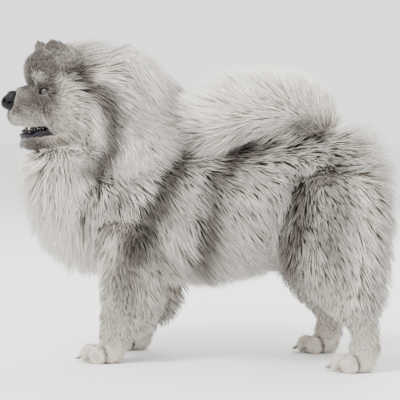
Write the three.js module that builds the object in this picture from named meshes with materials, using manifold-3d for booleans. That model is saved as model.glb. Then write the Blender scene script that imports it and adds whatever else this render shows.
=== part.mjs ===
// A standing chow chow, life size, in millimetres, +Z up, facing -X, its left side towards -Y.
// The origin lies on the floor under the middle of the dog's outline.
// The body is modelled as flesh with a depth of coat over it. The long coat is built as flat, tapered locks
// that are rooted in a core, bend with the body and overlap along the lie of the hair.
import * as THREE from "three";
import { mergeVertices } from "three/addons/utils/BufferGeometryUtils.js";
import Module from "manifold-3d";

const wasm = await Module();
wasm.setup();

// Driving dimensions
const STANCE_FRONT = 172; // between the fore feet
const STANCE_REAR = 224; // between the hind feet
const FORE_SHIFT = { left: 0, right: 14 }; // the right fore foot stands a little further back
const HIND_SHIFT = { left: 0, right: -88 }; // the right hind foot is set forwards
const HEAD_TURN = THREE.MathUtils.degToRad(27); // the head looks to its own left
const HEAD_AT = new THREE.Vector3(-287, -40, 511); // between the eyes
const EYE_SPREAD = 43; // from the middle of the face to each eye
const EYE_RADIUS = 12;
const MUZZLE_LENGTH = 84; // from the eye line to the tip of the nose
const GAP = 0.35; // left between neighbouring parts
const CORE_FILL = 0.45; // share of the coat's depth that the cores fill
const LOCK_SINK = 7; // depth of a lock's root in its core
const EDGE_GROWTH = 4; // how much more a lock's thin edges need than its faces to be cleared all round
const FINEST_EDGE = 0.008; // edges shorter than this are closed up

// Colours of the coat and of the bare skin
const COAT_PALE = 0xe9e4da;
const COAT_GREY = 0xc4beb4;
const COAT_SHADE = 0x9d968c;
const LEATHER_BLACK = 0x1d1b1c;
const TONGUE_BLUE = 0x2b2d3a;
const EYE_BROWN = 0x1c120c;
const TOOTH_IVORY = 0xe8e0cc;

const Y_AXIS = new THREE.Vector3(0, 1, 0);
const Z_AXIS = new THREE.Vector3(0, 0, 1);

// Solid made of a closed geometry, by way of its merged positions.
function toSolid(geometry) {
  const bare = new THREE.BufferGeometry();
  bare.setAttribute("position", geometry.getAttribute("position"));
  if (geometry.index) bare.setIndex(geometry.index);
  const merged = mergeVertices(bare, 1e-4);
  return new wasm.Manifold(
    new wasm.Mesh({
      numProp: 3,
      vertProperties: new Float32Array(merged.attributes.position.array),
      triVerts: new Uint32Array(merged.index.array),
    }),
  );
}

// Geometry of a solid, for a mesh.
function toGeometry(solid) {
  const mesh = solid.getMesh();
  const positions = new Float32Array(mesh.numVert * 3);
  for (let i = 0; i < mesh.numVert; i++) {
    const from = i * mesh.numProp;
    positions.set(mesh.vertProperties.subarray(from, from + 3), i * 3);
  }
  const geometry = new THREE.BufferGeometry();
  geometry.setAttribute("position", new THREE.BufferAttribute(positions, 3));
  geometry.setIndex(new THREE.BufferAttribute(mesh.triVerts, 1));
  geometry.computeVertexNormals();
  return geometry;
}

const joined = (solids) => solids.reduce((sum, solid) => sum.add(solid));

// The largest closed body of a solid.
function largest(solid) {
  const bodies = solid.decompose();
  return bodies.reduce((best, body) => (body.volume() > best.volume() ? body : best));
}

// Rounds the corners of a unit circle's direction: 2 is an ellipse, more is squarer.
const superellipse = (c, squareness) => Math.sign(c) * Math.abs(c) ** (2 / squareness);

// Rounded end of a loft: 0 at its tip, 1 beyond the share that the dome takes.
const dome = (share, length) => (share >= length ? 1 : Math.sqrt(1 - (1 - share / length) ** 2));

// A round-ended body through stations of [x, y, z, half-width, half-height, depth of coat].
// The half-width lies along side, the half-height across it. Its surface is asked for by the share of the
// way along the spine, the turn about it and the share of the coat that lies under the point.
class Body {
  constructor(stations, { side = Y_AXIS, squareness = 2, domes = [0.18, 0.18], ends = 1 } = {}) {
    Object.assign(this, { stations, side, squareness, domes, ends });
    this.curves = new Map();
  }

  curvesAt(fill, grow) {
    const key = `${fill} ${grow}`;
    if (!this.curves.has(key)) {
      const depth = (s) => (s[5] ?? 0) * fill + grow;
      const centres = this.stations.map((s) => new THREE.Vector3(s[0], s[1], s[2]));
      const last = centres.length - 1;
      const pushed = (i, from) => {
        const outward = centres[i].clone().sub(centres[from]).normalize();
        return centres[i].clone().addScaledVector(outward, (this.stations[i][5] ?? 0) * fill * this.ends + grow);
      };
      [centres[0], centres[last]] = [pushed(0, 1), pushed(last, last - 1)];
      const sizes = this.stations.map((s) => new THREE.Vector3(s[3] + depth(s), s[4] + depth(s), 0));
      this.curves.set(key, {
        spine: new THREE.CatmullRomCurve3(centres, false, "centripetal"),
        size: new THREE.CatmullRomCurve3(sizes, false, "centripetal"),
      });
    }
    return this.curves.get(key);
  }

  at(share, turn, fill = 0, grow = 0) {
    const { spine, size } = this.curvesAt(fill, grow);
    const radius = dome(share, this.domes[0]) * dome(1 - share, this.domes[1]);
    const tangent = spine.getTangent(share);
    const across = this.side.clone().addScaledVector(tangent, -this.side.dot(tangent)).normalize();
    const up = new THREE.Vector3().crossVectors(tangent, across);
    const { x: halfWidth, y: halfHeight } = size.getPoint(share);
    return spine
      .getPoint(share)
      .addScaledVector(across, -superellipse(Math.cos(turn), this.squareness) * halfWidth * radius)
      .addScaledVector(up, superellipse(Math.sin(turn), this.squareness) * halfHeight * radius);
  }

  // Outward direction of the hair's growth.
  outward(share, turn) {
    return this.at(share, turn, 1, 1).sub(this.at(share, turn, 0)).normalize();
  }

  // Step over the surface in the direction that comes nearest to a heading in space.
  step(share, turn, heading) {
    const e = 0.01;
    const along = this.at(share + e, turn, 1).sub(this.at(share - e, turn, 1)).divideScalar(2 * e);
    const round = this.at(share, turn + e, 1).sub(this.at(share, turn - e, 1)).divideScalar(2 * e);
    const [aa, ar, rr] = [along.dot(along), along.dot(round), round.dot(round)];
    const [ha, hr] = [heading.dot(along), heading.dot(round)];
    const scale = 1 / (aa * rr - ar * ar);
    return [(ha * rr - hr * ar) * scale, (hr * aa - ha * ar) * scale];
  }

  // Whether a point lies under the surface.
  holds(point, fill) {
    const { spine, size } = this.curvesAt(fill, 0);
    const count = 32;
    let best = Infinity;
    let nearest = 0;
    for (let i = 0; i <= count; i++) {
      const distance = spine.getPoint(i / count).distanceTo(point);
      if (distance < best) [best, nearest] = [distance, i / count];
    }
    const from = point.clone().sub(spine.getPoint(nearest));
    const tangent = spine.getTangent(nearest);
    const across = this.side.clone().addScaledVector(tangent, -this.side.dot(tangent)).normalize();
    const up = new THREE.Vector3().crossVectors(tangent, across);
    const { x, y } = size.getPoint(nearest);
    return Math.hypot(from.dot(across) / x, from.dot(up) / y, from.dot(tangent) / Math.min(x, y)) < 1;
  }

  solid({ sides = 16, rings = 10, fill = 0, grow = 0 } = {}) {
    const geometry = new THREE.SphereGeometry(1, sides, rings);
    const { position, uv } = geometry.attributes;
    for (let i = 0; i < position.count; i++) {
      const even = 1 - uv.getY(i);
      const share = (even + (1 - Math.cos(Math.PI * even)) / 2) / 2;
      const point = this.at(share, uv.getX(i) * 2 * Math.PI, fill, grow);
      position.setXYZ(i, point.x, point.y, point.z);
    }
    return toSolid(geometry);
  }
}

// The solid of a body that is used once.
const loft = (stations, options = {}) => new Body(stations, options).solid(options);

// An ellipsoid of the given half-sizes, turned by Euler angles.
function blob(centre, radii, { sides = 14, rings = 9, turn = [0, 0, 0], grow = 0 } = {}) {
  const geometry = new THREE.SphereGeometry(1, sides, rings);
  geometry.scale(radii[0] + grow, radii[1] + grow, radii[2] + grow);
  geometry.applyMatrix4(new THREE.Matrix4().makeRotationFromEuler(new THREE.Euler(...turn)));
  geometry.translate(...centre);
  return toSolid(geometry);
}

// A block between two corners, used to cut flats and gaps.
function block(low, high) {
  const size = high.map((h, i) => h - low[i]);
  const geometry = new THREE.BoxGeometry(...size);
  geometry.translate(...high.map((h, i) => (h + low[i]) / 2));
  return toSolid(geometry);
}

// A heading in space, the same everywhere.
const towards = (x, y, z) => {
  const heading = new THREE.Vector3(x, y, z).normalize();
  return () => heading;
};

// Steady random numbers between 0 and 1.
function randomNumbers(seed) {
  let state = seed;
  return () => {
    state = (state * 1664525 + 1013904223) % 4294967296;
    return state / 4294967296;
  };
}

// Centreline of a lock. It starts in the core, follows the lie of the hair over the body and rises to the
// full depth of the coat. Past the end of the body it goes straight on.
function lockPath(body, share, turn, { lie, length, steps = 3, rise = 1.2 }) {
  const points = [];
  const outs = [];
  const free = new THREE.Vector3();
  for (let i = 0; i <= steps; i++) {
    const along = i / steps;
    const fill = CORE_FILL + (1 - CORE_FILL) * Math.min(1, along * rise);
    const out = body.outward(share, turn);
    const point = body.at(share, turn, fill).add(free);
    if (i === 0) point.addScaledVector(out, -LOCK_SINK);
    points.push(point);
    outs.push(out);
    const heading = lie(point, out).clone();
    heading.addScaledVector(out, -heading.dot(out)).setLength(length / steps);
    const [ds, dt] = body.step(share, turn, heading);
    const onBody = share + ds > 0.04 && share + ds < 0.96 && Math.abs(dt) < 1;
    if (onBody) [share, turn] = [share + ds, turn + dt];
    else free.add(heading);
  }
  return { line: new THREE.CatmullRomCurve3(points, false, "centripetal"), outs };
}

// A flat lock with a low ridge along its top, which widens from its root and tapers to a point.
function lock(path, width, thickness, grow) {
  const { line, outs } = path;
  const steps = outs.length - 1;
  const geometry = new THREE.ConeGeometry(1, 1, 3, steps);
  const { position } = geometry.attributes;
  for (let i = 0; i < position.count; i++) {
    const along = position.getY(i) + 0.5;
    const size = Math.max(1 - along, 1e-6);
    const across = position.getX(i) / size;
    const upward = position.getZ(i) / size;
    const direction = line.getTangent(along);
    const out = outs[Math.round(along * steps)];
    const side = new THREE.Vector3().crossVectors(direction, out).normalize();
    const normal = new THREE.Vector3().crossVectors(side, direction);
    const halfWidth = (width / 2) * Math.sqrt(1 - along) * (0.8 + 0.6 * along) + grow * EDGE_GROWTH;
    const halfThickness = (thickness / 2) * (1 - along) ** 0.7 + grow * (upward > 0 ? 1.5 : 1.2);
    const point = line.getPoint(along);
    if (along < 1) {
      point.addScaledVector(side, across * halfWidth).addScaledVector(normal, upward * halfThickness);
    } else point.addScaledVector(direction, grow * EDGE_GROWTH);
    position.setXYZ(i, point.x, point.y, point.z);
  }
  return toSolid(geometry);
}

// Rows of overlapping locks over a body. A row is its share of the way along the body, its count of locks,
// the turns about the body that it spans and how soon its locks rise to the full depth of the coat.
// Locks whose roots another body covers are left out.
function locks(body, spec, grow, sign = -1) {
  const random = randomNumbers(spec.seed);
  const made = [];
  for (const [row, [share, count, from = 0, to = 1, rise = spec.rise]] of spec.rows.entries()) {
    for (let i = 0; i < count; i++) {
      const vary = () => random() - 0.5;
      const even = (i + 0.5 + (row % 2 ? 0.25 : -0.25) + vary() * 0.3) / count;
      const leftTurn = (from + (to - from) * even) * 2 * Math.PI;
      const turn = sign < 0 ? leftTurn : Math.PI - leftTurn;
      const at = share + vary() * 0.02;
      const [length, width] = [spec.length * (1 + vary() * 0.3), spec.width * (1 + vary() * 0.2)];
      const root = body.at(at, turn, CORE_FILL);
      if (spec.under?.some((other) => other.holds(root, 0.8))) continue;
      if (spec.where && !spec.where(root)) continue;
      made.push(lock(lockPath(body, at, turn, { ...spec, length, rise }), width, spec.thickness, grow));
    }
  }
  return made;
}

// The same solid on the other side of the dog's middle plane, for stations and centres written for the left.
const mirrored = (stations, sign) => stations.map((s) => s.map((v, i) => (i === 1 ? v * sign : v)));

// Head, in its own frame: the origin is between the eyes, and the nose points along -X.
const SKULL = { centre: [36, 0, 12], radii: [62, 80, 74] };
const FOREHEAD = { centre: [2, 0, 36], radii: [46, 62, 47] };
const CHEEK = { centre: [24, 50, -34], radii: [50, 34, 52] };
const NAPE = 44; // where the head meets the neck
const MUZZLE = [
  [-MUZZLE_LENGTH + 14, 0, -24, 28, 30],
  [-52, 0, -27, 35, 35],
  [-22, 0, -27, 39, 36],
  [12, 0, -24, 44, 38],
  [40, 0, -22, 46, 38],
];
const FLEW = [
  [-74, 12, -44, 13, 16],
  [-50, 24, -48, 17, 21],
  [-20, 32, -46, 16, 21],
  [14, 42, -44, 14, 19],
];
const BROW = { centre: [-8, 35, 18], radii: [21, 19, 12], turn: [0.25, 0.1, -0.5] };

const eyeCentre = (sign) => [-10, EYE_SPREAD * sign, -4];

// Direction in which an eye looks, outwards and forwards.
const eyeAim = (sign) => new THREE.Vector3(-0.76, 0.64 * sign, 0.06).normalize();

function eyeball(sign, grow = 0) {
  return blob(eyeCentre(sign), [EYE_RADIUS, EYE_RADIUS, EYE_RADIUS], { sides: 10, rings: 7, grow });
}

// Lids: a shell over the eyeball, open in an almond whose outer corner is raised.
const LID_THICKNESS = 3;
const ALMOND = { halfWidth: 11.5, halfHeight: 4.6, tilt: 0.16 };

function lids(sign) {
  const radius = EYE_RADIUS + LID_THICKNESS;
  return blob(eyeCentre(sign), [radius, radius, radius], { sides: 10, rings: 7 });
}

function almond(sign) {
  const aim = eyeAim(sign);
  const across = new THREE.Vector3().crossVectors(Z_AXIS, aim).normalize();
  const outward = across.multiplyScalar(Math.sign(across.y) * sign);
  const along = outward.clone().multiplyScalar(Math.cos(ALMOND.tilt)).addScaledVector(Z_AXIS, Math.sin(ALMOND.tilt));
  const centre = new THREE.Vector3(...eyeCentre(sign));
  const near = centre.clone().addScaledVector(aim, EYE_RADIUS * 0.45);
  const far = centre.clone().addScaledVector(aim, EYE_RADIUS * 2.6);
  const station = (p) => [p.x, p.y, p.z, ALMOND.halfWidth, ALMOND.halfHeight];
  return loft([station(near), station(near.clone().lerp(far, 0.5)), station(far)], {
    sides: 8,
    rings: 3,
    side: along,
    domes: [0.02, 0.02],
  });
}

// Nose leather: a broad pad with a nostril on each side.
const NOSE = [
  [-MUZZLE_LENGTH, 0, -13, 14, 13],
  [-MUZZLE_LENGTH + 8, 0, -18, 22, 19],
  [-MUZZLE_LENGTH + 19, 0, -19, 23, 21],
  [-MUZZLE_LENGTH + 27, 0, -19, 18, 18],
];
const NOSTRIL = { centre: [-MUZZLE_LENGTH + 3, 10.5, -20], radii: [9, 4, 5], turn: [0, 0.2, -0.5] };

function nose(grow = 0) {
  const pad = loft(NOSE, { sides: 12, rings: 6, squareness: 2.4, domes: [0.3, 0.2], grow });
  if (grow) return pad;
  const nostrils = [-1, 1].map((sign) =>
    blob([NOSTRIL.centre[0], NOSTRIL.centre[1] * sign, NOSTRIL.centre[2]], NOSTRIL.radii, {
      sides: 6,
      rings: 5,
      turn: [0, NOSTRIL.turn[1], NOSTRIL.turn[2] * sign],
    }),
  );
  return pad.subtract(joined(nostrils));
}

// Mouth: the gap between the upper lips and the jaw, open at the front and closed at the corners.
const MOUTH = [
  [-100, 0, -76, 60, 10],
  [-50, 0, -74, 42, 8.5],
  [-15, 0, -72, 40, 6.5],
  [12, 0, -68, 44, 2],
];

function headSolid(grow = 0) {
  const pieces = [
    blob(SKULL.centre, SKULL.radii, { sides: 14, rings: 8, grow }),
    blob(FOREHEAD.centre, FOREHEAD.radii, { sides: 14, rings: 8, grow }),
    loft(MUZZLE, { sides: 14, rings: 7, squareness: 2.5, domes: [0.22, 0.1], grow }),
  ];
  for (const sign of [-1, 1]) {
    pieces.push(
      blob([CHEEK.centre[0], CHEEK.centre[1] * sign, CHEEK.centre[2]], CHEEK.radii, { sides: 10, rings: 7, grow }),
      loft(mirrored(FLEW, sign), { sides: 8, rings: 6, domes: [0.2, 0.2], grow }),
      blob([BROW.centre[0], BROW.centre[1] * sign, BROW.centre[2]], BROW.radii, {
        sides: 8,
        rings: 6,
        turn: [BROW.turn[0] * -sign, BROW.turn[1], BROW.turn[2] * sign],
        grow,
      }),
      lids(sign),
    );
  }
  const whole = joined(pieces);
  const behind = block([NAPE + grow, -200, -200], [NAPE + 200, 200, 200]);
  if (grow) return whole.subtract(behind);
  const cuts = [loft(MOUTH, { sides: 10, rings: 5, domes: [0.05, 0.3] }), behind];
  for (const sign of [-1, 1]) cuts.push(almond(sign), eyeball(sign, GAP));
  return whole.subtract(joined(cuts)).subtract(nose(GAP));
}

// Lower jaw, with a raised lip along its edge.
const JAW = [
  [-50, 0, -89, 17, 12],
  [-40, 0, -91, 24, 15],
  [-20, 0, -92, 30, 18],
  [15, 0, -84, 38, 24],
  [50, 0, -72, 44, 30],
];
const LIP_RADIUS = 3.4;
const LIP = [
  [12, 40, -76],
  [-20, 31, -79],
  [-38, 24, -81],
  [-49, 12, -82],
];

function jaw(grow = 0) {
  const pieces = [loft(JAW, { sides: 10, rings: 6, squareness: 2.2, domes: [0.16, 0.12], grow })];
  const rim = [...LIP, ...[...LIP].reverse().map(([x, y, z]) => [x, -y, z])];
  pieces.push(
    loft(
      rim.map((p) => [...p, LIP_RADIUS, LIP_RADIUS]),
      { sides: 4, rings: 9, side: Z_AXIS, domes: [0.04, 0.04], grow },
    ),
  );
  return joined(pieces);
}

// Tongue: a flat tongue that lies on the jaw between the teeth.
const TONGUE = [
  [-42, 0, -73.3, 12, 4.3],
  [-29, 0, -72, 16, 5],
  [-5, 0, -71, 18, 6],
  [22, 0, -68, 18, 6],
];
const tongue = (grow = 0) => loft(TONGUE, { sides: 10, rings: 6, domes: [0.25, 0.15], grow });

// Teeth of the lower jaw: a gum ridge that carries incisors, canines and premolars.
const TOOTH_ARCH = [
  [-10, 27, -75],
  [-28, 24, -76],
  [-41, 17.4, -77.2],
  [-47, 7, -78],
];
const GUM_RADIUS = 2.4;
const CANINE = { height: 10, radius: 2.8 };
const SMALL_TOOTH = { height: 4.6, radius: 1.9 };

function teeth(grow = 0) {
  const rim = [...TOOTH_ARCH, ...[...TOOTH_ARCH].reverse().map(([x, y, z]) => [x, -y, z])];
  const arch = new THREE.CatmullRomCurve3(rim.map((p) => new THREE.Vector3(...p)), false, "centripetal");
  const pieces = [
    loft(
      rim.map((p) => [...p, GUM_RADIUS, GUM_RADIUS]),
      { sides: 4, rings: 9, side: Z_AXIS, domes: [0.04, 0.04], grow },
    ),
  ];
  const count = 12;
  for (let i = 1; i < count; i++) {
    const isCanine = i === 3 || i === count - 3;
    const { height, radius } = isCanine ? CANINE : SMALL_TOOTH;
    const cone = new THREE.ConeGeometry(radius + grow, height + 2 * grow, 4);
    cone.rotateX(Math.PI / 2);
    const at = arch.getPointAt(i / count);
    cone.translate(at.x, at.y, at.z + height / 2);
    pieces.push(toSolid(cone));
  }
  return joined(pieces);
}

// Ear: a thick, rounded triangle with a cup in its front face, tilted forwards.
const EAR = { base: [14, 54, 52], tip: [-3, 62, 92], halfWidth: 37, halfDepth: 13 };
const EAR_CUP = { depth: 10, inset: 7 };

function ear(sign, grow = 0) {
  const [base, tip] = [EAR.base, EAR.tip].map((p) => new THREE.Vector3(p[0], p[1] * sign, p[2]));
  const facing = new THREE.Vector3(-0.82, 0.57 * sign, 0).normalize();
  const across = new THREE.Vector3().crossVectors(facing, Z_AXIS);
  const section = (share, width, depth, shift = 0) => {
    const p = base.clone().lerp(tip, share).addScaledVector(facing, shift);
    return [p.x, p.y, p.z, width, depth];
  };
  const outer = loft(
    [
      section(-0.35, EAR.halfWidth, EAR.halfDepth + 3),
      section(0.15, EAR.halfWidth * 0.96, EAR.halfDepth),
      section(0.6, EAR.halfWidth * 0.68, EAR.halfDepth * 0.75),
      section(1, EAR.halfWidth * 0.36, EAR.halfDepth * 0.55),
    ],
    { sides: 12, rings: 7, side: across, domes: [0.05, 0.3], grow },
  );
  if (grow) return outer;
  const cup = loft(
    [
      section(0.05, EAR.halfWidth - EAR_CUP.inset, EAR_CUP.depth, EAR.halfDepth),
      section(0.4, (EAR.halfWidth - EAR_CUP.inset) * 0.8, EAR_CUP.depth, EAR.halfDepth * 0.9),
      section(0.8, (EAR.halfWidth - EAR_CUP.inset) * 0.4, EAR_CUP.depth * 0.7, EAR.halfDepth * 0.8),
    ],
    { sides: 8, rings: 5, side: across, domes: [0.2, 0.3] },
  );
  return outer.subtract(cup);
}

// Trunk of the body, from the forechest to the rump.
const TORSO = new Body(
  [
    [-236, 0, 318, 52, 62, 40],
    [-180, 0, 310, 88, 106, 40],
    [-90, 0, 304, 106, 119, 40],
    [10, 0, 300, 112, 120, 42],
    [110, 0, 312, 104, 107, 42],
    [200, 0, 332, 96, 94, 42],
    [272, 0, 338, 84, 78, 46],
    [312, 0, 330, 52, 50, 46],
  ],
  { squareness: 2.15, domes: [0.1, 0.16] },
);

// Neck: a collar of long hair round the back of the head, down to the withers.
const COLLAR = new Body(
  [
    [-236, -24, 508, 54, 54, 48],
    [-205, -16, 496, 66, 62, 54],
    [-150, -6, 456, 76, 64, 58],
    [-105, 0, 402, 84, 66, 56],
    [-74, 0, 356, 82, 58, 48],
  ],
  { domes: [0.1, 0.22], ends: 0.5 },
);

// Chest: the bib of the forechest, from the throat down to between the fore legs.
const BIB = new Body(
  [
    [-262, -24, 414, 40, 42, 36],
    [-252, -14, 352, 54, 46, 44],
    [-222, -4, 286, 66, 48, 46],
    [-186, 0, 226, 60, 38, 44],
  ],
  { domes: [0.2, 0.26], ends: 0.7 },
);

const RUFF_LOCKS = {
  seed: 11,
  rows: [
    [0.05, 10, 0, 1, 2.6],
    [0.27, 8],
    [0.5, 8],
    [0.74, 8],
  ],
  length: 116,
  width: 94,
  thickness: 19,
  rise: 1.7,
  lie: (point, out) => new THREE.Vector3(0.75, out.y * 0.3, -0.15 - 0.75 * Math.abs(out.y)).normalize(),
};
const BIB_LOCKS = {
  seed: 31,
  rows: [
    [0.12, 4, 0.42, 1.08],
    [0.34, 4, 0.42, 1.08],
    [0.56, 4, 0.42, 1.08],
    [0.78, 4, 0.42, 1.08],
  ],
  length: 96,
  width: 80,
  thickness: 18,
  rise: 1.6,
  lie: (point, out) => new THREE.Vector3(0.2, out.y * 0.3, -1).normalize(),
};
// Room that the neck and the chest leave for the head, up to its nape and down to its jaw.
function headRoom(grow = 0) {
  return joined([
    block([-300, -220, -96], [NAPE + 2 * grow, 220, 300]),
    new Body(JAW, { squareness: 2.2, domes: [0.16, 0.12] }).solid({ sides: 10, rings: 6, grow: 2 * grow }),
  ]);
}

// Tail, carried over the back and laid to the left: the stump that rises from the rump, then the plume.
const TAIL = new Body(
  [
    [226, 6, 424, 22, 22, 20],
    [214, -6, 460, 18, 18, 34],
    [176, -26, 474, 16, 16, 48],
    [112, -48, 466, 14, 14, 54],
    [66, -62, 450, 12, 12, 52],
    [34, -70, 436, 9, 9, 46],
  ],
  { domes: [0.06, 0.2], ends: 0.6 },
);
const TAIL_PART = 176; // where the stump gives way to the plume

const TAIL_LOCKS = {
  seed: 14,
  rows: [
    [0.12, 4],
    [0.28, 4],
    [0.44, 5],
    [0.6, 5],
    [0.76, 4],
  ],
  length: 86,
  width: 60,
  thickness: 15,
  rise: 1.4,
  lie: towards(-0.8, -0.3, 0.15),
};

function tail(part, grow = 0) {
  const whole = TAIL.solid({ sides: 8, rings: 9, fill: CORE_FILL, grow });
  const isRoot = part === "root";
  const room = isRoot ? [TAIL_PART - grow, 400] : [-200, TAIL_PART - GAP + grow];
  const core = whole.intersect(block([room[0], -300, 200], [room[1], 300, 800]));
  const where = (root) => (root.x > TAIL_PART + LOCK_SINK) === isRoot && root.x !== TAIL_PART;
  return joined([core, ...locks(TAIL, { ...TAIL_LOCKS, where }, grow)]);
}

// Fore leg, straight down from the elbow to the pastern, with feathering behind it.
const FORE_FOOT = { x: -166, y: STANCE_FRONT / 2, length: 80, width: 62, height: 48 };
const foreLeg = (sign, shift) => {
  const y = (STANCE_FRONT / 2) * sign;
  return new Body(
    [
      [-108 + shift, y * 0.98, 280, 40, 58, 12],
      [-118 + shift, y, 220, 38, 46, 12],
      [-136 + shift, y, 150, 29, 32, 8],
      [-144 + shift, y, 90, 25, 26, 5],
      [-147 + shift, y, 36, 24, 25, 4],
    ],
    { domes: [0.1, 0.05] },
  );
};
const foreFeather = (sign, shift) => {
  const y = (STANCE_FRONT / 2) * sign;
  return new Body([
    [-96 + shift, y, 210, 18, 26, 14],
    [-90 + shift, y, 160, 14, 26, 16],
    [-92 + shift, y, 110, 12, 20, 16],
    [-110 + shift, y, 62, 10, 14, 10],
  ]);
};

// Hind leg: thigh, shin down to the hock, and the upright rear pastern.
const HIND_FOOT = { x: 306, y: STANCE_REAR / 2, length: 78, width: 62, height: 46 };
const thigh = (sign, shift) => {
  const y = (STANCE_REAR / 2) * sign;
  return new Body([
    [262 + shift * 0.15, y * 0.62, 366, 40, 64, 22],
    [258 + shift * 0.35, y * 0.78, 300, 46, 78, 26],
    [246 + shift * 0.6, y * 0.92, 226, 42, 66, 24],
    [264 + shift * 0.85, y, 156, 32, 44, 16],
  ]);
};
const shin = (sign, shift) => {
  const y = (STANCE_REAR / 2) * sign;
  return new Body(
    [
      [252 + shift * 0.8, y * 0.96, 190, 34, 48, 12],
      [284 + shift, y, 136, 26, 34, 8],
      [314 + shift, y, 96, 20, 24, 5],
      [324 + shift, y, 64, 20, 23, 5],
      [322 + shift, y, 34, 23, 25, 4],
    ],
    { domes: [0.2, 0.05] },
  );
};
const breeches = (sign, shift) => {
  const y = (STANCE_REAR / 2) * sign;
  return new Body([
    [300 + shift * 0.1, y * 0.5, 372, 34, 26, 30],
    [316 + shift * 0.2, y * 0.66, 300, 40, 26, 34],
    [316 + shift * 0.5, y * 0.84, 222, 36, 26, 34],
    [316 + shift * 0.85, y, 150, 24, 22, 26],
    [332 + shift, y, 104, 14, 12, 12],
  ]);
};

const FEATHER_LOCKS = {
  seed: 15,
  rows: [
    [0.26, 2, 0, 0.5],
    [0.46, 2, 0, 0.5],
    [0.68, 2, 0, 0.5],
  ],
  steps: 2,
  length: 62,
  width: 44,
  thickness: 13,
  lie: towards(0.55, 0, -0.83),
};
const THIGH_LOCKS = {
  seed: 16,
  rows: [
    [0.24, 3, -0.3, 0.25],
    [0.5, 3, -0.3, 0.25],
    [0.76, 3, -0.3, 0.25],
  ],
  steps: 2,
  length: 100,
  width: 76,
  thickness: 17,
  lie: towards(0.45, 0, -0.9),
};
const BREECHES_LOCKS = {
  seed: 17,
  rows: [
    [0.18, 3, -0.05, 0.55],
    [0.36, 2, -0.05, 0.55],
    [0.54, 3, -0.05, 0.55],
    [0.7, 2, -0.05, 0.55],
  ],
  steps: 2,
  length: 90,
  width: 60,
  thickness: 15,
  lie: towards(0.3, 0, -0.95),
};

// Share of the way down the slope of the rump, where the hair turns from backwards to downwards.
const rump = (x) => THREE.MathUtils.clamp((x - 130) / 120, 0, 1.3);
const TORSO_LOCKS = {
  seed: 13,
  rows: [
    [0.14, 8],
    [0.31, 9],
    [0.48, 9],
    [0.65, 9],
    [0.8, 9],
  ],
  length: 140,
  width: 106,
  thickness: 20,
  rise: 1.3,
  under: [COLLAR, BIB, thigh(-1, HIND_SHIFT.left), thigh(1, HIND_SHIFT.right)],
  lie: ({ x }, out) => new THREE.Vector3(0.8, 0, -0.25 - 0.6 * Math.abs(out.y) - rump(x)).normalize(),
};

function legFore(sign, shift, grow) {
  const detail = { sides: 8, rings: 6, fill: CORE_FILL, grow };
  const feather = foreFeather(sign, shift);
  return joined([
    foreLeg(sign, shift).solid({ ...detail, sides: 10, fill: 1 }),
    feather.solid(detail),
    ...locks(feather, FEATHER_LOCKS, grow, sign),
  ]);
}

function legThigh(sign, shift, grow) {
  const detail = { sides: 8, rings: 6, fill: CORE_FILL, grow };
  const [upper, rear] = [thigh(sign, shift), breeches(sign, shift)];
  return joined([
    upper.solid(detail),
    rear.solid(detail),
    ...locks(upper, { ...THIGH_LOCKS, under: [rear] }, grow, sign),
    ...locks(rear, { ...BREECHES_LOCKS, under: [upper] }, grow, sign),
  ]);
}

const legShank = (sign, shift, grow) => shin(sign, shift).solid({ sides: 9, rings: 6, fill: 1, grow });

// A cat-like foot: a rounded pad, four arched toes with claws, and a flat sole on the floor.
const TOES = [
  { along: -0.36, across: -0.36, width: 0.17 },
  { along: -0.5, across: -0.13, width: 0.19 },
  { along: -0.5, across: 0.13, width: 0.19 },
  { along: -0.36, across: 0.36, width: 0.17 },
];
const CLAW = { radius: 2.6, length: 11 };

function paw({ x, y, length, width, height }, sign, shift, grow = 0) {
  const cx = x + shift;
  const cy = y * sign;
  const pieces = [
    blob([cx + length * 0.06, cy, height * 0.42], [length * 0.42, width * 0.44, height * 0.5], {
      sides: 9,
      rings: 5,
      grow,
    }),
    blob([cx + length * 0.22, cy, height * 0.72], [length * 0.3, width * 0.38, height * 0.5], {
      sides: 8,
      rings: 5,
      grow,
    }),
  ];
  for (const toe of TOES) {
    const tx = cx + toe.along * length + width * toe.width;
    const ty = cy + toe.across * width;
    pieces.push(
      blob([tx, ty, height * 0.33], [width * 0.28, width * toe.width * 0.86, height * 0.36], {
        sides: 6,
        rings: 4,
        grow,
      }),
    );
    const claw = new THREE.ConeGeometry(CLAW.radius + grow, CLAW.length, 3);
    claw.rotateZ(Math.PI / 2 + 0.45);
    claw.translate(tx - width * 0.28 - 1, ty, height * 0.2);
    pieces.push(toSolid(claw));
  }
  const floor = block([cx - 200, cy - 200, -100], [cx + 200, cy + 200, -grow]);
  return joined(pieces).subtract(floor);
}

// The head's own frame stands between the eyes, turned as the dog looks.
const dog = new THREE.Group();
const head = new THREE.Group();
head.position.copy(HEAD_AT);
head.rotation.z = HEAD_TURN;
head.updateMatrix();
dog.add(head);

// Each part gives way, with the gap, to the parts that come before it.
const earlier = [];
const overlaps = (a, b) => [0, 1, 2].every((i) => a.min[i] < b.max[i] && b.min[i] < a.max[i]);

function addPart(name, colour, roughness, parent, build) {
  const inDog = (solid) => (parent === dog ? solid : solid.transform(parent.matrix.toArray()));
  const inParent = (solid) => (parent === dog ? solid : solid.transform(parent.matrix.clone().invert().toArray()));
  const whole = inDog(build(0));
  let solid = whole;
  for (const other of earlier) {
    if (overlaps(other.boundingBox(), solid.boundingBox())) solid = solid.subtract(other);
  }
  earlier.push(inDog(build(GAP)).add(whole));
  const material = new THREE.MeshStandardMaterial({ color: colour, roughness, metalness: 0 });
  const body = inParent(largest(solid.asOriginal().simplify(FINEST_EDGE)));
  const mesh = new THREE.Mesh(toGeometry(body), material);
  mesh.name = name;
  parent.add(mesh);
}

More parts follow.
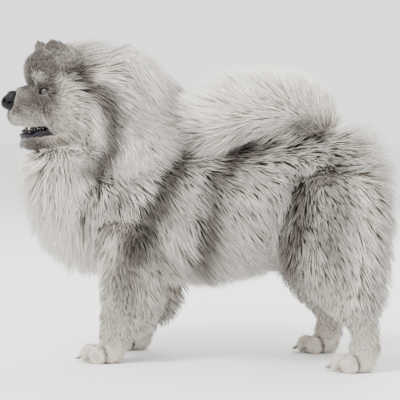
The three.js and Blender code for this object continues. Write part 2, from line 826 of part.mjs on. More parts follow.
// Left is the dog's own left, towards -Y.
const SIDES = [
  { side: "left", sign: -1 },
  { side: "right", sign: 1 },
];

for (const { side, sign } of SIDES) {
  addPart(`eye_${side}`, EYE_BROWN, 0.08, head, (grow) => eyeball(sign, grow));
}
addPart("nose", LEATHER_BLACK, 0.35, head, nose);
addPart("head", COAT_SHADE, 0.9, head, headSolid);
addPart("teeth_lower", TOOTH_IVORY, 0.3, head, teeth);
addPart("tongue", TONGUE_BLUE, 0.35, head, tongue);
addPart("jaw", COAT_SHADE, 0.85, head, jaw);
for (const { side, sign } of SIDES) {
  addPart(`ear_${side}`, COAT_SHADE, 0.9, head, (grow) => ear(sign, grow));
}
const roomForHead = headRoom(GAP).transform(head.matrix.toArray());
const coated = (body, detail, spec, grow) =>
  joined([body.solid({ ...detail, fill: CORE_FILL, grow }), ...locks(body, spec, grow)]);
addPart("neck", COAT_PALE, 0.95, dog, (grow) => {
  return coated(COLLAR, { sides: 14, rings: 7 }, RUFF_LOCKS, grow).subtract(roomForHead);
});
addPart("chest", COAT_PALE, 0.95, dog, (grow) => {
  return coated(BIB, { sides: 10, rings: 6 }, BIB_LOCKS, grow).subtract(roomForHead);
});
addPart("torso", COAT_GREY, 0.95, dog, (grow) => coated(TORSO, { sides: 14, rings: 9 }, TORSO_LOCKS, grow));
for (const part of ["root", "plume"]) {
  addPart(`tail_${part}`, COAT_PALE, 0.95, dog, (grow) => tail(part, grow));
}
for (const { side, sign } of SIDES) {
  const fore = FORE_SHIFT[side];
  const hind = HIND_SHIFT[side];
  addPart(`paw_fore_${side}`, COAT_GREY, 0.9, dog, (grow) => paw(FORE_FOOT, sign, fore, grow));
  addPart(`paw_hind_${side}`, COAT_GREY, 0.9, dog, (grow) => paw(HIND_FOOT, sign, hind, grow));
  addPart(`leg_fore_${side}`, COAT_GREY, 0.95, dog, (grow) => legFore(sign, fore, grow));
  addPart(`thigh_${side}`, COAT_GREY, 0.95, dog, (grow) => legThigh(sign, hind, grow));
  addPart(`shank_${side}`, COAT_GREY, 0.95, dog, (grow) => legShank(sign, hind, grow));
}

// The dog stands over the origin by the middle of its outline.
const middle = new THREE.Box3().setFromObject(dog, true).getCenter(new THREE.Vector3());
dog.position.set(-middle.x, -middle.y, 0);

export default dog;
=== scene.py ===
"""A life-size chow chow, standing as a museum model stands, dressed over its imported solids.

Shapes are worked out in millimetres in the dog's own frame: -X towards its face, -Y towards its left side,
+Z up, the floor at 0. The flesh is a smooth field of swept limbs and rounded forms. The skin is that field's
surface, and the coat is made of thin, tapered tufts that are rooted in the skin and follow the lie of the hair.
"""

from __future__ import annotations

import logging
import math
from dataclasses import dataclass, field
from enum import Enum
from typing import Callable, Sequence

import bmesh
import bpy
import numpy as np
from mathutils import Matrix, Vector
from mathutils.kdtree import KDTree


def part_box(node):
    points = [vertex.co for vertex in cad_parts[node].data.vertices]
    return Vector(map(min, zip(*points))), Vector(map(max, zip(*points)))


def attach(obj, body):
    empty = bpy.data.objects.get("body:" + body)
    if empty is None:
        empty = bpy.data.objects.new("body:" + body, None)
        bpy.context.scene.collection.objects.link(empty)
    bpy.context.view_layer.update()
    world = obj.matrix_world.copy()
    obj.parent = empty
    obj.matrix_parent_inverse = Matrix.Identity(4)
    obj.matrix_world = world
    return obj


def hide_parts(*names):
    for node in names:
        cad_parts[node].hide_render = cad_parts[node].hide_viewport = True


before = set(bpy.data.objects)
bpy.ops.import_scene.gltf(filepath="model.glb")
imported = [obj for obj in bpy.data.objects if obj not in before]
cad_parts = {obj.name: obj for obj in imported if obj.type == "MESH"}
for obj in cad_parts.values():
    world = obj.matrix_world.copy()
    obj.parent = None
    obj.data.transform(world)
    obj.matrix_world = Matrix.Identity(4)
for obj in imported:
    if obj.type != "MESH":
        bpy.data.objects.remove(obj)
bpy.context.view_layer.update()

LOG = logging.getLogger("chow")
Array = np.ndarray

HEAD_AT = np.array([-287.0, -40.0, 511.0])  # between the eyes
HEAD_TURN = math.radians(27)  # the head looks to its own left
EYE = np.array([-10.0, 43.0, -4.0])  # centre of the right eye, in the head's frame
EYE_RADIUS = 12.0
SOCKET_RADIUS = 12.15
LID_SLOPE = 0.16  # rise of the lids towards their outer corner, in radians
STANCE_FRONT = 172.0  # between the middles of the forefeet
STANCE_REAR = 224.0
SIDES = {"left": -1.0, "right": 1.0}
FORE_SHIFT = {"left": 0.0, "right": 14.0}  # how far back each foreleg stands
HIND_SHIFT = {"left": 0.0, "right": -88.0}
SKIN_FLOOR = 0.25  # lowest height of the skin over the ground
HAIR_FLOOR = 0.2  # and of the hair
MM = 0.001
# the mane's outline from the side: places along x, and its height there
MANE_LINE = ((-330, -266, -200, -152, -105, -57, -19, 20, 80), (590, 614, 624, 617, 592, 542, 502, 462, 440))


class Region(Enum):
    """Parts of the body that carry their own kind of coat."""

    FACE = 0
    EAR = 1
    RUFF = 2
    CHEST = 3
    BODY = 4
    TAIL = 5
    LEG = 6
    THIGH = 7
    PAW = 8


def unit(vectors: Array) -> Array:
    """Vectors scaled to a length of one."""
    return vectors / np.maximum(np.linalg.norm(vectors, axis=-1, keepdims=True), 1e-9)


def ramp(values: Array, start: float, end: float) -> Array:
    """Smooth step from 0 at start to 1 at end."""
    t = np.clip((values - start) / (end - start), 0.0, 1.0)
    return t * t * (3 - 2 * t)


def spot(distance: Array, width: float) -> Array:
    """Share of a mark at a distance from its middle: 1 there, fading over its width."""
    return np.exp(-((distance / width) ** 2))


def nearer(values: Callable[[float], Array]) -> Array:
    """The lesser of a value's readings for the left and the right."""
    return np.minimum(values(-1), values(1))


def head_matrix() -> Array:
    """Rotation from the head's frame to the dog's."""
    c, s = math.cos(HEAD_TURN), math.sin(HEAD_TURN)
    return np.array([[c, -s, 0.0], [s, c, 0.0], [0.0, 0.0, 1.0]])


HEAD_ROTATION = head_matrix()


def to_head(points: Array) -> Array:
    """Points of the dog's frame in the head's frame."""
    return (points - HEAD_AT) @ HEAD_ROTATION


def from_head(points: Array) -> Array:
    """Points of the head's frame in the dog's frame."""
    return np.asarray(points, float) @ HEAD_ROTATION.T + HEAD_AT


def dog_shift() -> Array:
    """Offset from the dog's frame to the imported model's, read from the left eye, in millimetres."""
    low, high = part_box("eye_left")
    centre = (np.array(low) + np.array(high)) / 2 / MM
    return centre - from_head(EYE * [1, -1, 1])


SHIFT = dog_shift()

# ---------------------------------------------------------------------------------------------- forms


def wander(points: Array, size: float, seed: int) -> Array:
    """Slow, steady variation between about -1 and 1.

    Args:
        points: Places, one a row.
        size: Length over which the variation turns.
        seed: Chooses the pattern.

    Returns:
        One value for each place.
    """
    random = np.random.default_rng(seed)
    total = np.zeros(len(points))
    for _ in range(5):
        wave = random.normal(size=3)
        wave *= random.uniform(0.6, 1.5) * 2 * np.pi / size / np.linalg.norm(wave)
        total += np.sin(points @ wave + random.uniform(0, 6.3))
    return total / 3.0


Lie = Callable[[Array, Array], Array]


def steady(x: float, y: float, z: float) -> Lie:
    """A lie of the hair that is the same everywhere."""
    return lambda points, outward: np.broadcast_to(np.array([x, y, z], float), points.shape)


def back_lie(points: Array, outward: Array) -> Array:
    """Lie over the trunk: backwards, then down over the flanks and the rump."""
    down = 0.25 + 0.6 * np.abs(outward[:, 1]) + np.clip((points[:, 0] - 130) / 120, 0, 1.3)
    return np.stack([np.full(len(points), 0.8), np.zeros(len(points)), -down], 1)


def ruff_lie(points: Array, outward: Array) -> Array:
    """Lie over the neck: backwards on top, down and out at the sides."""
    down = 0.12 + 0.75 * np.abs(outward[:, 1])
    return np.stack([np.full(len(points), 0.75), 0.3 * outward[:, 1], -down], 1)


def chest_lie(points: Array, outward: Array) -> Array:
    """Lie over the forechest: down, and out to the sides."""
    return np.stack([np.full(len(points), 0.22), 0.3 * outward[:, 1], np.full(len(points), -1.0)], 1)


def tail_lie(points: Array, outward: Array) -> Array:
    """Lie of the plume: spreading from the root of the tail."""
    spread = unit(points - np.array([236.0, -6.0, 398.0]))
    return spread + np.array([-0.35, -0.1, 0.1])


def face_lie(points: Array, outward: Array) -> Array:
    """Lie over the face: spreading backwards from the nose."""
    local = to_head(points)
    spread = unit(local - np.array([-92.0, 0.0, -16.0]))
    return (spread + np.array([0.25, 0.0, -0.1])) @ HEAD_ROTATION.T


def ear_lie(points: Array, outward: Array) -> Array:
    """Lie over the ears: up to the tips."""
    return np.broadcast_to(from_head([-0.25, 0.0, 1.0]) - HEAD_AT, points.shape)


THIN_END = 0.04  # least share of its size that a sweep keeps at its ends
CAP = 0.3  # how far a sweep's ends bulge, as a share of its half-size
CORE = 0.3  # share of a form's size inside which the depth is only roughly kept


@dataclass
class Form:
    """A rounded form with its coat.

    Attributes:
        region: The kind of coat that it carries.
        lie: Direction of the hair from places and outward directions.
        in_head: Whether its numbers are in the head's frame.
        inset: How far the skin lies under the form.
    """

    region: Region = Region.BODY
    lie: Lie = steady(0, 0, -1)
    in_head: bool = False
    inset: float = 0.0

    def measure(self, points: Array) -> tuple[Array, Array]:
        """Distance to the surface, negative inside, and the depth of coat."""
        raise NotImplementedError

    def limits(self) -> tuple[Array, Array]:
        """Lowest and highest corners."""
        raise NotImplementedError


@dataclass
class Sweep(Form):
    """A form swept along stations of x, y, z, half-width, half-height and depth of coat.

    Attributes:
        stations: The stations, in order.
        side: Direction of the half-width.
        power: 2 for an ellipse, more for a squarer section.
        domes: Shares of the length that the rounded ends take.
        steps: Sections laid between two stations.
    """

    stations: Sequence[Sequence[float]] = ()
    side: tuple[float, float, float] = (0, 1, 0)
    power: float = 2.0
    domes: tuple[float, float] = (0.18, 0.18)
    steps: int = 5

    def __post_init__(self) -> None:
        """Lays sections along the smooth line through the stations."""
        rows = np.array([tuple(s) + (0.0,) * (6 - len(s)) for s in self.stations], float)
        count = self.steps * (len(rows) - 1)
        even = np.linspace(0, 1, count + 1)
        share = (even + (1 - np.cos(np.pi * even)) / 2) / 2
        self.rows = self.along(rows, share)
        start, end = self.domes
        ends = [1 - (1 - np.clip(s / dome, 0, 1)) ** 2 for s, dome in ((share, start), (1 - share, end))]
        radius = np.maximum(np.sqrt(ends[0] * ends[1]), THIN_END)
        self.rows[:, 3:5] = np.maximum(self.rows[:, 3:5] * radius[:, None] - self.inset, 0.5)

    @staticmethod
    def along(rows: Array, share: Array) -> Array:
        """Rows at shares of the way along a centripetal curve through the given rows."""
        padded = np.vstack([2 * rows[0] - rows[1], rows, 2 * rows[-1] - rows[-2]])
        gap = np.maximum(np.linalg.norm(np.diff(padded[:, :3], axis=0), axis=1) ** 0.5, 1e-4)[:, None]
        place = share * (len(rows) - 1)
        i = np.minimum(place.astype(int), len(rows) - 2)
        t = (place - i)[:, None]
        p0, p1, p2, p3 = (padded[i + k] for k in range(4))
        g0, g1, g2 = gap[i], gap[i + 1], gap[i + 2]
        m1 = ((p1 - p0) / g0 - (p2 - p0) / (g0 + g1) + (p2 - p1) / g1) * g1
        m2 = ((p2 - p1) / g1 - (p3 - p1) / (g1 + g2) + (p3 - p2) / g2) * g1
        return p1 + t * (m1 + t * ((-3 * p1 + 3 * p2 - 2 * m1 - m2) + t * (2 * p1 - 2 * p2 + m1 + m2)))

    def limits(self) -> tuple[Array, Array]:
        """Lowest and highest corners of the sections."""
        reach = self.rows[:, 3:5].max(axis=1, keepdims=True)
        return (self.rows[:, :3] - reach).min(axis=0), (self.rows[:, :3] + reach).max(axis=0)

    def measure(self, points: Array) -> tuple[Array, Array]:
        """Distance to the nearest section, negative inside, and the depth of coat there."""
        best = np.full(len(points), 1e9)
        coat = np.zeros(len(points))
        side = np.array(self.side, float)
        for a, b in zip(self.rows[:-1], self.rows[1:]):
            axis = b[:3] - a[:3]
            length = np.linalg.norm(axis)
            axis /= length
            across = side - axis * (side @ axis)
            across /= np.linalg.norm(across)
            up = np.cross(axis, across)
            d = points - a[:3]
            along = d @ axis
            t = np.clip(along / length, 0, 1)
            over = along - t * length
            u, v = d @ across, d @ up
            w, h = a[3] + t * (b[3] - a[3]), a[4] + t * (b[4] - a[4])
            if self.power == 2:
                k2 = (u / w) ** 2 + (v / h) ** 2
            else:
                k2 = ((np.abs(u) / w) ** self.power + (np.abs(v) / h) ** self.power) ** (2 / self.power)
            k = np.sqrt(k2 + (over / (CAP * np.minimum(w, h))) ** 2) + 1e-6
            reach = np.sqrt(u * u + v * v + over * over)
            dist = np.where(k < CORE, -np.minimum(w, h) * (1 - k), reach * (1 - 1 / k))
            near = dist < best
            best = np.where(near, dist, best)
            coat = np.where(near, a[5] + t * (b[5] - a[5]), coat)
        return best, coat


@dataclass
class Ball(Form):
    """An ellipsoid.

    Attributes:
        centre: Its centre.
        radii: Its half-sizes.
        coat: Depth of coat over it.
        turn: Angles about x, y and z.
    """

    centre: tuple[float, float, float] = (0, 0, 0)
    radii: tuple[float, float, float] = (1, 1, 1)
    coat: float = 0.0
    turn: tuple[float, float, float] = (0, 0, 0)

    def __post_init__(self) -> None:
        """Works out its axes."""
        x, y, z = (Matrix.Rotation(a, 3, n) for a, n in zip(self.turn, "XYZ"))
        self.axes = np.array(x @ y @ z)
        self.reach = np.array(self.radii, float) - self.inset

    def limits(self) -> tuple[Array, Array]:
        """Corners of a box about it."""
        reach = self.reach.max()
        return np.array(self.centre) - reach, np.array(self.centre) + reach

    def measure(self, points: Array) -> tuple[Array, Array]:
        """Distance to its surface, negative inside, and its depth of coat."""
        local = (points - np.array(self.centre)) @ self.axes
        k = np.linalg.norm(local / self.reach, axis=1) + 1e-6
        reach = np.linalg.norm(local, axis=1)
        dist = np.where(k < CORE, -self.reach.min() * (1 - k), reach * (1 - 1 / k))
        return dist, np.full(len(points), self.coat)


def mirrored(stations: Sequence[Sequence[float]], sign: float) -> list[list[float]]:
    """Stations written for the right, on the given side."""
    return [[v * sign if i == 1 else v for i, v in enumerate(s)] for s in stations]


TORSO = [
    [-236, 0, 318, 52, 62, 40], [-180, 0, 310, 88, 106, 40], [-90, 0, 304, 106, 119, 40],
    [10, 0, 300, 112, 120, 42], [110, 0, 312, 104, 107, 42], [200, 0, 332, 96, 94, 42],
    [272, 0, 338, 84, 78, 46], [312, 0, 330, 52, 50, 46],
]
COLLAR = [
    [-236, -24, 508, 54, 54, 50], [-205, -16, 496, 66, 62, 56], [-150, -6, 456, 76, 64, 60],
    [-105, 0, 402, 84, 66, 56], [-74, 0, 356, 82, 58, 48],
]
BIB = [
    [-262, -24, 414, 40, 42, 44], [-252, -14, 352, 54, 46, 58], [-222, -4, 286, 66, 48, 56],
    [-186, 0, 226, 60, 38, 46],
]
TAIL = [
    [226, 6, 424, 22, 22, 22], [214, -6, 460, 18, 18, 44], [176, -26, 474, 16, 16, 62],
    [112, -48, 466, 14, 14, 68], [66, -62, 450, 12, 12, 63], [34, -70, 436, 9, 9, 51],
]
MUZZLE = [
    [-73, 0, -28, 26, 23], [-52, 0, -29, 35, 31], [-22, 0, -27, 39, 36], [12, 0, -24, 44, 38],
    [40, 0, -22, 46, 38],
]
FLEW = [[-69, 12, -46, 12, 15], [-50, 24, -48, 17, 21], [-20, 32, -46, 16, 21], [14, 42, -44, 14, 19]]
JAW = [
    [-50, 0, -89, 17, 12], [-40, 0, -91, 24, 15], [-20, 0, -92, 30, 18], [15, 0, -84, 38, 24],
    [50, 0, -72, 44, 30],
]
LIP = [[12, 40, -76], [-20, 31, -79], [-38, 24, -81], [-49, 12, -82]]
MOUTH = [[-100, 0, -76, 60, 10], [-50, 0, -74, 42, 8.5], [-15, 0, -72, 40, 6.5], [12, 0, -68, 44, 2]]
NOSE = [[-84, 0, -14, 12, 11], [-77, 0, -19, 19, 17], [-66, 0, -21, 21, 20], [-57, 0, -22, 17, 18]]
TONGUE = [[-42, 0, -73.3, 12, 4.3], [-29, 0, -72, 16, 5], [-5, 0, -71, 18, 6], [22, 0, -68, 18, 6]]
TOOTH_ARCH = [[-10, 27, -75], [-28, 24, -76], [-41, 17.4, -77.2], [-47, 7, -78]]
LIP_RADIUS = 3.4
GUM_RADIUS = 2.6
EAR_BASE, EAR_TIP = np.array([14.0, 54.0, 52.0]), np.array([-3.0, 62.0, 90.0])
# share of the way up an ear, with its half-width, half-thickness and coat there
EAR_ROWS = [(-0.35, 34, 14, 6), (0.15, 34, 11, 4), (0.6, 28, 8, 3), (1, 17, 6, 3)]
# and of its hollow, with the half-width, the half-depth and how far it lies in front of the middle
CUP_ROWS = [(0.02, 27, 10, 13), (0.4, 21, 9, 11.5), (0.85, 10, 6, 9)]


def rim(stations: Sequence[Sequence[float]], radius: float) -> list[list[float]]:
    """Stations round an arch that is written for the right half only."""
    whole = [list(s) for s in stations] + [[s[0], -s[1], s[2]] for s in reversed(stations)]
    return [[*s, radius, radius] for s in whole]


def head_forms() -> list[Form]:
    """Forms of the head, in its own frame."""
    face = {"region": Region.FACE, "lie": face_lie, "in_head": True}
    forms: list[Form] = [
        Ball(centre=(36, 0, 12), radii=(62, 80, 74), coat=20, inset=9, **face),
        Ball(centre=(2, 0, 36), radii=(46, 62, 47), coat=7, inset=6, **face),
        Sweep(stations=[[*s, 3] for s in MUZZLE], power=2.5, domes=(0.2, 0.1), inset=0, **face),
        Sweep(stations=[[*s, 6] for s in JAW], power=2.2, domes=(0.16, 0.12), inset=1, **face),
    ]
    for sign in (-1, 1):
        forms += [
            Ball(centre=(24, 50 * sign, -34), radii=(50, 34, 52), coat=14, inset=6, **face),
            Sweep(stations=[[*s, 3] for s in mirrored(FLEW, sign)], domes=(0.2, 0.2), inset=0, **face),
            Ball(centre=(-8, 35 * sign, 17.5), radii=(21, 19, 12), coat=5, inset=1.5,
                 turn=(-0.25 * sign, 0.1, -0.5 * sign), **face),
            Ball(centre=(-6, 39 * sign, -17), radii=(17, 17, 8), coat=4, inset=1,
                 turn=(0.2 * sign, 0.1, -0.5 * sign), **face),
            Ball(centre=(EYE[0], EYE[1] * sign, EYE[2]), radii=(15.2, 15.2, 15.2), coat=3, **face),
        ]
    return forms


def ear_axes(sign: float) -> tuple[Array, Array, Array, Array]:
    """Base, tip, forward direction and sideways direction of an ear, in the head's frame."""
    facing = unit(np.array([-0.82, 0.57 * sign, 0]))
    return EAR_BASE * [1, sign, 1], EAR_TIP * [1, sign, 1], facing, np.cross(facing, [0, 0, 1])


def ear_form(sign: float) -> Sweep:
    """The outer form of an ear."""
    base, tip, _, across = ear_axes(sign)
    stations = [[*(base + (tip - base) * s), w, d, c] for s, w, d, c in EAR_ROWS]
    return Sweep(stations=stations, side=tuple(across), domes=(0.05, 0.3), region=Region.EAR, lie=ear_lie,
                 in_head=True)


def ear_cup(sign: float) -> Sweep:
    """The hollow of an ear's front."""
    base, tip, facing, across = ear_axes(sign)
    stations = [[*(base + (tip - base) * s + facing * out), w, d] for s, w, d, out in CUP_ROWS]
    return Sweep(stations=stations, side=tuple(across), domes=(0.2, 0.3), in_head=True)


def lid_axes(sign: float) -> tuple[Array, Array]:
    """Direction in which a pair of lids opens, and the line from its inner to its outer corner."""
    aim = unit(np.array([-0.76, 0.64 * sign, 0.06]))
    across = unit(np.cross([0, 0, 1], aim))
    outward = across * np.sign(across[1]) * sign
    return aim, outward * math.cos(LID_SLOPE) + np.array([0, 0, 1]) * math.sin(LID_SLOPE)


def almond(sign: float) -> Sweep:
    """The opening between the lids."""
    aim, along = lid_axes(sign)
    stations = [[*(EYE * [1, sign, 1] + aim * EYE_RADIUS * d), 11.5, 4.9] for d in (0.45, 1.5, 2.6)]
    return Sweep(stations=stations, side=tuple(along), domes=(0.02, 0.02), power=1.7, in_head=True)


def leg_forms(name: str) -> list[Form]:
    """Forms of the legs and feet of one side."""
    sign, fore, hind = SIDES[name], FORE_SHIFT[name], HIND_SHIFT[name]
    y, r = STANCE_FRONT / 2 * sign, STANCE_REAR / 2 * sign
    leg = {"region": Region.LEG}
    forms: list[Form] = [
        Sweep(stations=[[-108 + fore, y * 0.98, 280, 40, 58, 30], [-118 + fore, y, 220, 38, 46, 20],
                        [-136 + fore, y, 150, 29, 32, 11], [-144 + fore, y, 90, 25, 26, 8],
                        [-147 + fore, y, 36, 24, 25, 6]],
              domes=(0.1, 0.05), lie=steady(0.12, 0, -1), **leg),
        Sweep(stations=[[-96 + fore, y, 210, 18, 26, 20], [-90 + fore, y, 160, 14, 26, 22],
                        [-92 + fore, y, 110, 12, 20, 20], [-110 + fore, y, 62, 10, 14, 12]],
              lie=steady(0.5, 0, -0.85), **leg),
        Sweep(stations=[[262 + hind * 0.15, r * 0.62, 366, 40, 64, 24],
                        [258 + hind * 0.35, r * 0.78, 300, 46, 78, 28],
                        [246 + hind * 0.6, r * 0.92, 226, 42, 66, 26],
                        [264 + hind * 0.85, r, 156, 32, 44, 17]],
              region=Region.THIGH, lie=steady(0.4, 0, -0.9)),
        Sweep(stations=[[252 + hind * 0.8, r * 0.96, 190, 34, 48, 13], [284 + hind, r, 136, 26, 34, 9],
                        [314 + hind, r, 96, 20, 24, 7], [324 + hind, r, 64, 20, 23, 6],
                        [322 + hind, r, 34, 23, 25, 5]],
              domes=(0.2, 0.05), lie=steady(0.15, 0, -1), **leg),
        Sweep(stations=[[300 + hind * 0.1, r * 0.5, 372, 34, 26, 32],
                        [316 + hind * 0.2, r * 0.66, 300, 40, 26, 36],
                        [316 + hind * 0.5, r * 0.84, 222, 36, 26, 36],
                        [316 + hind * 0.85, r, 150, 24, 22, 28],
                        [332 + hind, r, 104, 14, 12, 14]],
              region=Region.THIGH, lie=steady(0.28, 0, -0.95)),
    ]
    return forms


@dataclass(frozen=True)
class Foot:
    """One foot, by its place on the floor and its size.

    Attributes:
        x: Place of its middle along the dog.
        y: Place of its middle across the dog.
        length: Its length.
        height: Its height at the instep.
        width: Its width.
        toes: Place of each toe as shares of the length and the width, and its share of the width.
        toe_reach: Half-length of a toe as a share of the width.
    """

    x: float
    y: float
    length: float
    height: float
    width: float = 62.0
    toes: tuple[tuple[float, float, float], ...] = ((-0.25, -0.37, 0.18), (-0.5, -0.13, 0.19),
                                                    (-0.5, 0.13, 0.19), (-0.25, 0.37, 0.18))
    toe_reach: float = 0.29

    def toe_places(self) -> list[tuple[float, float, float]]:
        """Place of each toe along and across the dog, and its share of the width."""
        return [(self.x + along * self.length + self.width * share, self.y + across * self.width, share)
                for along, across, share in self.toes]

    def pad(self, back: float, up: float, size: tuple[float, float], coat: float) -> Ball:
        """A rounded mass behind the toes, by shares of the foot's length, width and height."""
        return Ball(centre=(self.x + self.length * back, self.y, self.height * up), coat=coat, inset=2,
                    radii=(self.length * size[0], self.width * size[1], self.height * 0.5), **self.look())

    @staticmethod
    def look() -> dict[str, object]:
        """The kind and lie of its coat."""
        return {"region": Region.PAW, "lie": steady(-0.75, 0, -0.45)}

    def knobs(self) -> list[Form]:
        """The pad and the four arched toes, between which painted shade lines are laid on the coat's colour."""
        reach, high = self.width * self.toe_reach, self.height * 0.38
        return [self.pad(0.14, 0.42, (0.36, 0.42), 3)] + [
            Ball(centre=(x, y, self.height * 0.33), radii=(reach, self.width * share * 0.72, high), coat=2,
                 inset=0.6, **self.look())
            for x, y, share in self.toe_places()]

    def forms(self) -> list[Form]:
        """All the forms of the foot."""
        first, *toes = self.knobs()
        return [first, self.pad(0.22, 0.72, (0.3, 0.38), 4), *toes]


FEET = tuple(Foot(x + shift[name], spread / 2 * sign, length, height)
             for name, sign in SIDES.items()
             for x, shift, spread, length, height in ((-166, FORE_SHIFT, STANCE_FRONT, 80, 48),
                                                      (306, HIND_SHIFT, STANCE_REAR, 78, 46)))
TOE_FORMS = tuple(knob for foot in FEET for knob in foot.knobs())


@dataclass
class Flesh:
    """The dog's flesh as one smooth field.

    Attributes:
        blend: Radius of the fillets of the body.
        face_blend: Radius of the fillets of the head.
        toe_blend: Radius of the fillets of the feet.
        join: Radius of the fillets between the three.
        cell: Size of the cells of the kept grid.
        fine_mix: Distance over which the coats of the head and feet run into each other.
        broad_mix: The same on the body.
        cheek_depth: How much deeper the coat gets behind the cheeks.
        beard_depth: How much deeper it gets at the back of the jaw.
        ear_share: Share of its depth that it keeps beside the ears.
        nape_gain: How much fuller it stands on the nape.
        forms: The forms that carry the coat.
        hollows: The forms that are cut out of them.
    """

    blend: float = 11.0
    face_blend: float = 4.0
    toe_blend: float = 1.6
    join: float = 5.0
    cell: float = 6.0
    fine_mix: float = 6.0
    broad_mix: float = 11.0
    cheek_depth: float = 30.0
    beard_depth: float = 26.0
    ear_share: float = 0.3
    nape_gain: float = 0.6
    forms: list[Form] = field(default_factory=list)
    hollows: list[Form] = field(default_factory=list)

    def __post_init__(self) -> None:
        """Gathers the forms."""
        self.forms = [
            Sweep(stations=TORSO, power=2.15, domes=(0.1, 0.16), lie=back_lie, region=Region.BODY),
            Sweep(stations=COLLAR, domes=(0.1, 0.22), lie=ruff_lie, region=Region.RUFF),
            Sweep(stations=BIB, domes=(0.2, 0.26), lie=chest_lie, region=Region.CHEST),
            Sweep(stations=TAIL, domes=(0.06, 0.2), lie=tail_lie, region=Region.TAIL),
            *head_forms(), ear_form(-1), ear_form(1), *leg_forms("left"), *leg_forms("right"),
            *(form for foot in FEET for form in foot.forms()),
        ]
        self.mouth = Sweep(stations=MOUTH, domes=(0.05, 0.3), in_head=True)
        self.lips = Sweep(stations=rim(LIP, LIP_RADIUS), side=(0, 0, 1), domes=(0.04, 0.04), in_head=True)
        self.nose = Sweep(stations=NOSE, power=2.4, domes=(0.3, 0.2), in_head=True)
        sockets = [Ball(centre=tuple(EYE * [1, sign, 1]), radii=(SOCKET_RADIUS,) * 3, in_head=True)
                   for sign in (-1, 1)]
        self.hollows = [self.mouth, ear_cup(-1), ear_cup(1), almond(-1), almond(1), *sockets]

    def fillet(self, form: Form) -> float:
        """Radius with which a form melts into the others."""
        if form.region is Region.PAW:
            return self.toe_blend
        return self.face_blend if form.in_head else self.blend

    def near(self, form: Form, points: Array, margin: float) -> tuple[Array, Array]:
        """Rows of the points that lie near a form, and those points in its frame."""
        local = to_head(points) if form.in_head else points
        low, high = form.limits()
        rows = np.flatnonzero(((local > low - margin) & (local < high + margin)).all(axis=1))
        return rows, local[rows]

    def value(self, points: Array, margin: float = 45.0) -> Array:
        """Distance to the skin, negative inside, near the dog.

        Args:
            points: Places in the dog's frame.
            margin: How far round each form it counts.

        Returns:
            One distance for each place, and at most the margin.
        """
        fillets = (self.blend, self.face_blend, self.toe_blend)
        totals = {blend: np.full(len(points), 1e-12) for blend in fillets}
        for form in [*self.forms, self.lips]:
            rows, local = self.near(form, points, margin)
            if len(rows):
                blend = self.fillet(form)
                totals[blend][rows] += np.exp(np.clip(-form.measure(local)[0] / blend, -27, 60))
        values = [-blend * np.log(total) / self.join for blend, total in totals.items()]
        value = -self.join * np.logaddexp.reduce([-v for v in values])
        for hollow in self.hollows:
            rows, local = self.near(hollow, points, 20.0)
            if len(rows):
                value[rows] = np.logaddexp(value[rows], -hollow.measure(local)[0])
        return np.minimum(value, margin)

    def slope(self, points: Array, reach: float = 0.6) -> Array:
        """Outward direction of the field at places."""
        corners = np.array([[1, 1, 1], [1, -1, -1], [-1, 1, -1], [-1, -1, 1]]) * reach
        return unit(sum(self.value(points + c)[:, None] * c for c in corners))

    def settle(self, points: Array, rounds: int = 2) -> Array:
        """Points moved onto the skin."""
        for _ in range(rounds):
            points = points - self.slope(points) * np.clip(self.value(points), -6, 6)[:, None] * 0.9
        return points

    def describe(self, points: Array, outward: Array) -> tuple[Array, Array, Array]:
        """Coat at places on the skin.

        Args:
            points: Places in the dog's frame.
            outward: Outward directions there.

        Returns:
            Depth of coat, lie of the hair and number of the region, for each place.
        """
        shares = np.zeros((len(points), len(Region)))
        total = np.full(len(points), 1e-9)
        coat, lie = np.zeros(len(points)), np.zeros(points.shape)
        for form in self.forms:
            rows, local = self.near(form, points, 45.0)
            if not len(rows):
                continue
            dist, depth = form.measure(local)
            mix = self.broad_mix if self.fillet(form) == self.blend else self.fine_mix
            weight = np.exp(-np.clip(dist, -8, 60) / mix)
            total[rows] += weight
            coat[rows] += weight * depth
            lie[rows] += weight[:, None] * unit(form.lie(points[rows], outward[rows]))
            shares[rows, form.region.value] += weight
        local = to_head(points)
        coat = coat / total
        in_face = shares[:, Region.FACE.value] / total
        on_ear = shares[:, Region.EAR.value] > 0.5 * total
        ears = nearer(lambda sign: ear_form(sign).measure(local)[0])
        beard = ramp(local[:, 0], -14, 12) * ramp(-local[:, 2], 66, 84)
        nape = ramp(outward[:, 2], 0.1, 0.8) * ramp(-points[:, 0], 110, 170) * ramp(local[:, 0], 20, 60)
        coat += in_face * self.cheek_depth * ramp(local[:, 0] + 0.25 * np.abs(local[:, 1]), 28, 74)
        coat *= np.where(on_ear, 1.0, self.ear_share + (1 - self.ear_share) * ramp(ears, 3, 40))
        coat += self.beard_depth * in_face * beard
        coat *= 1 + self.nape_gain * nape
        return coat, unit(lie), shares.argmax(axis=1)


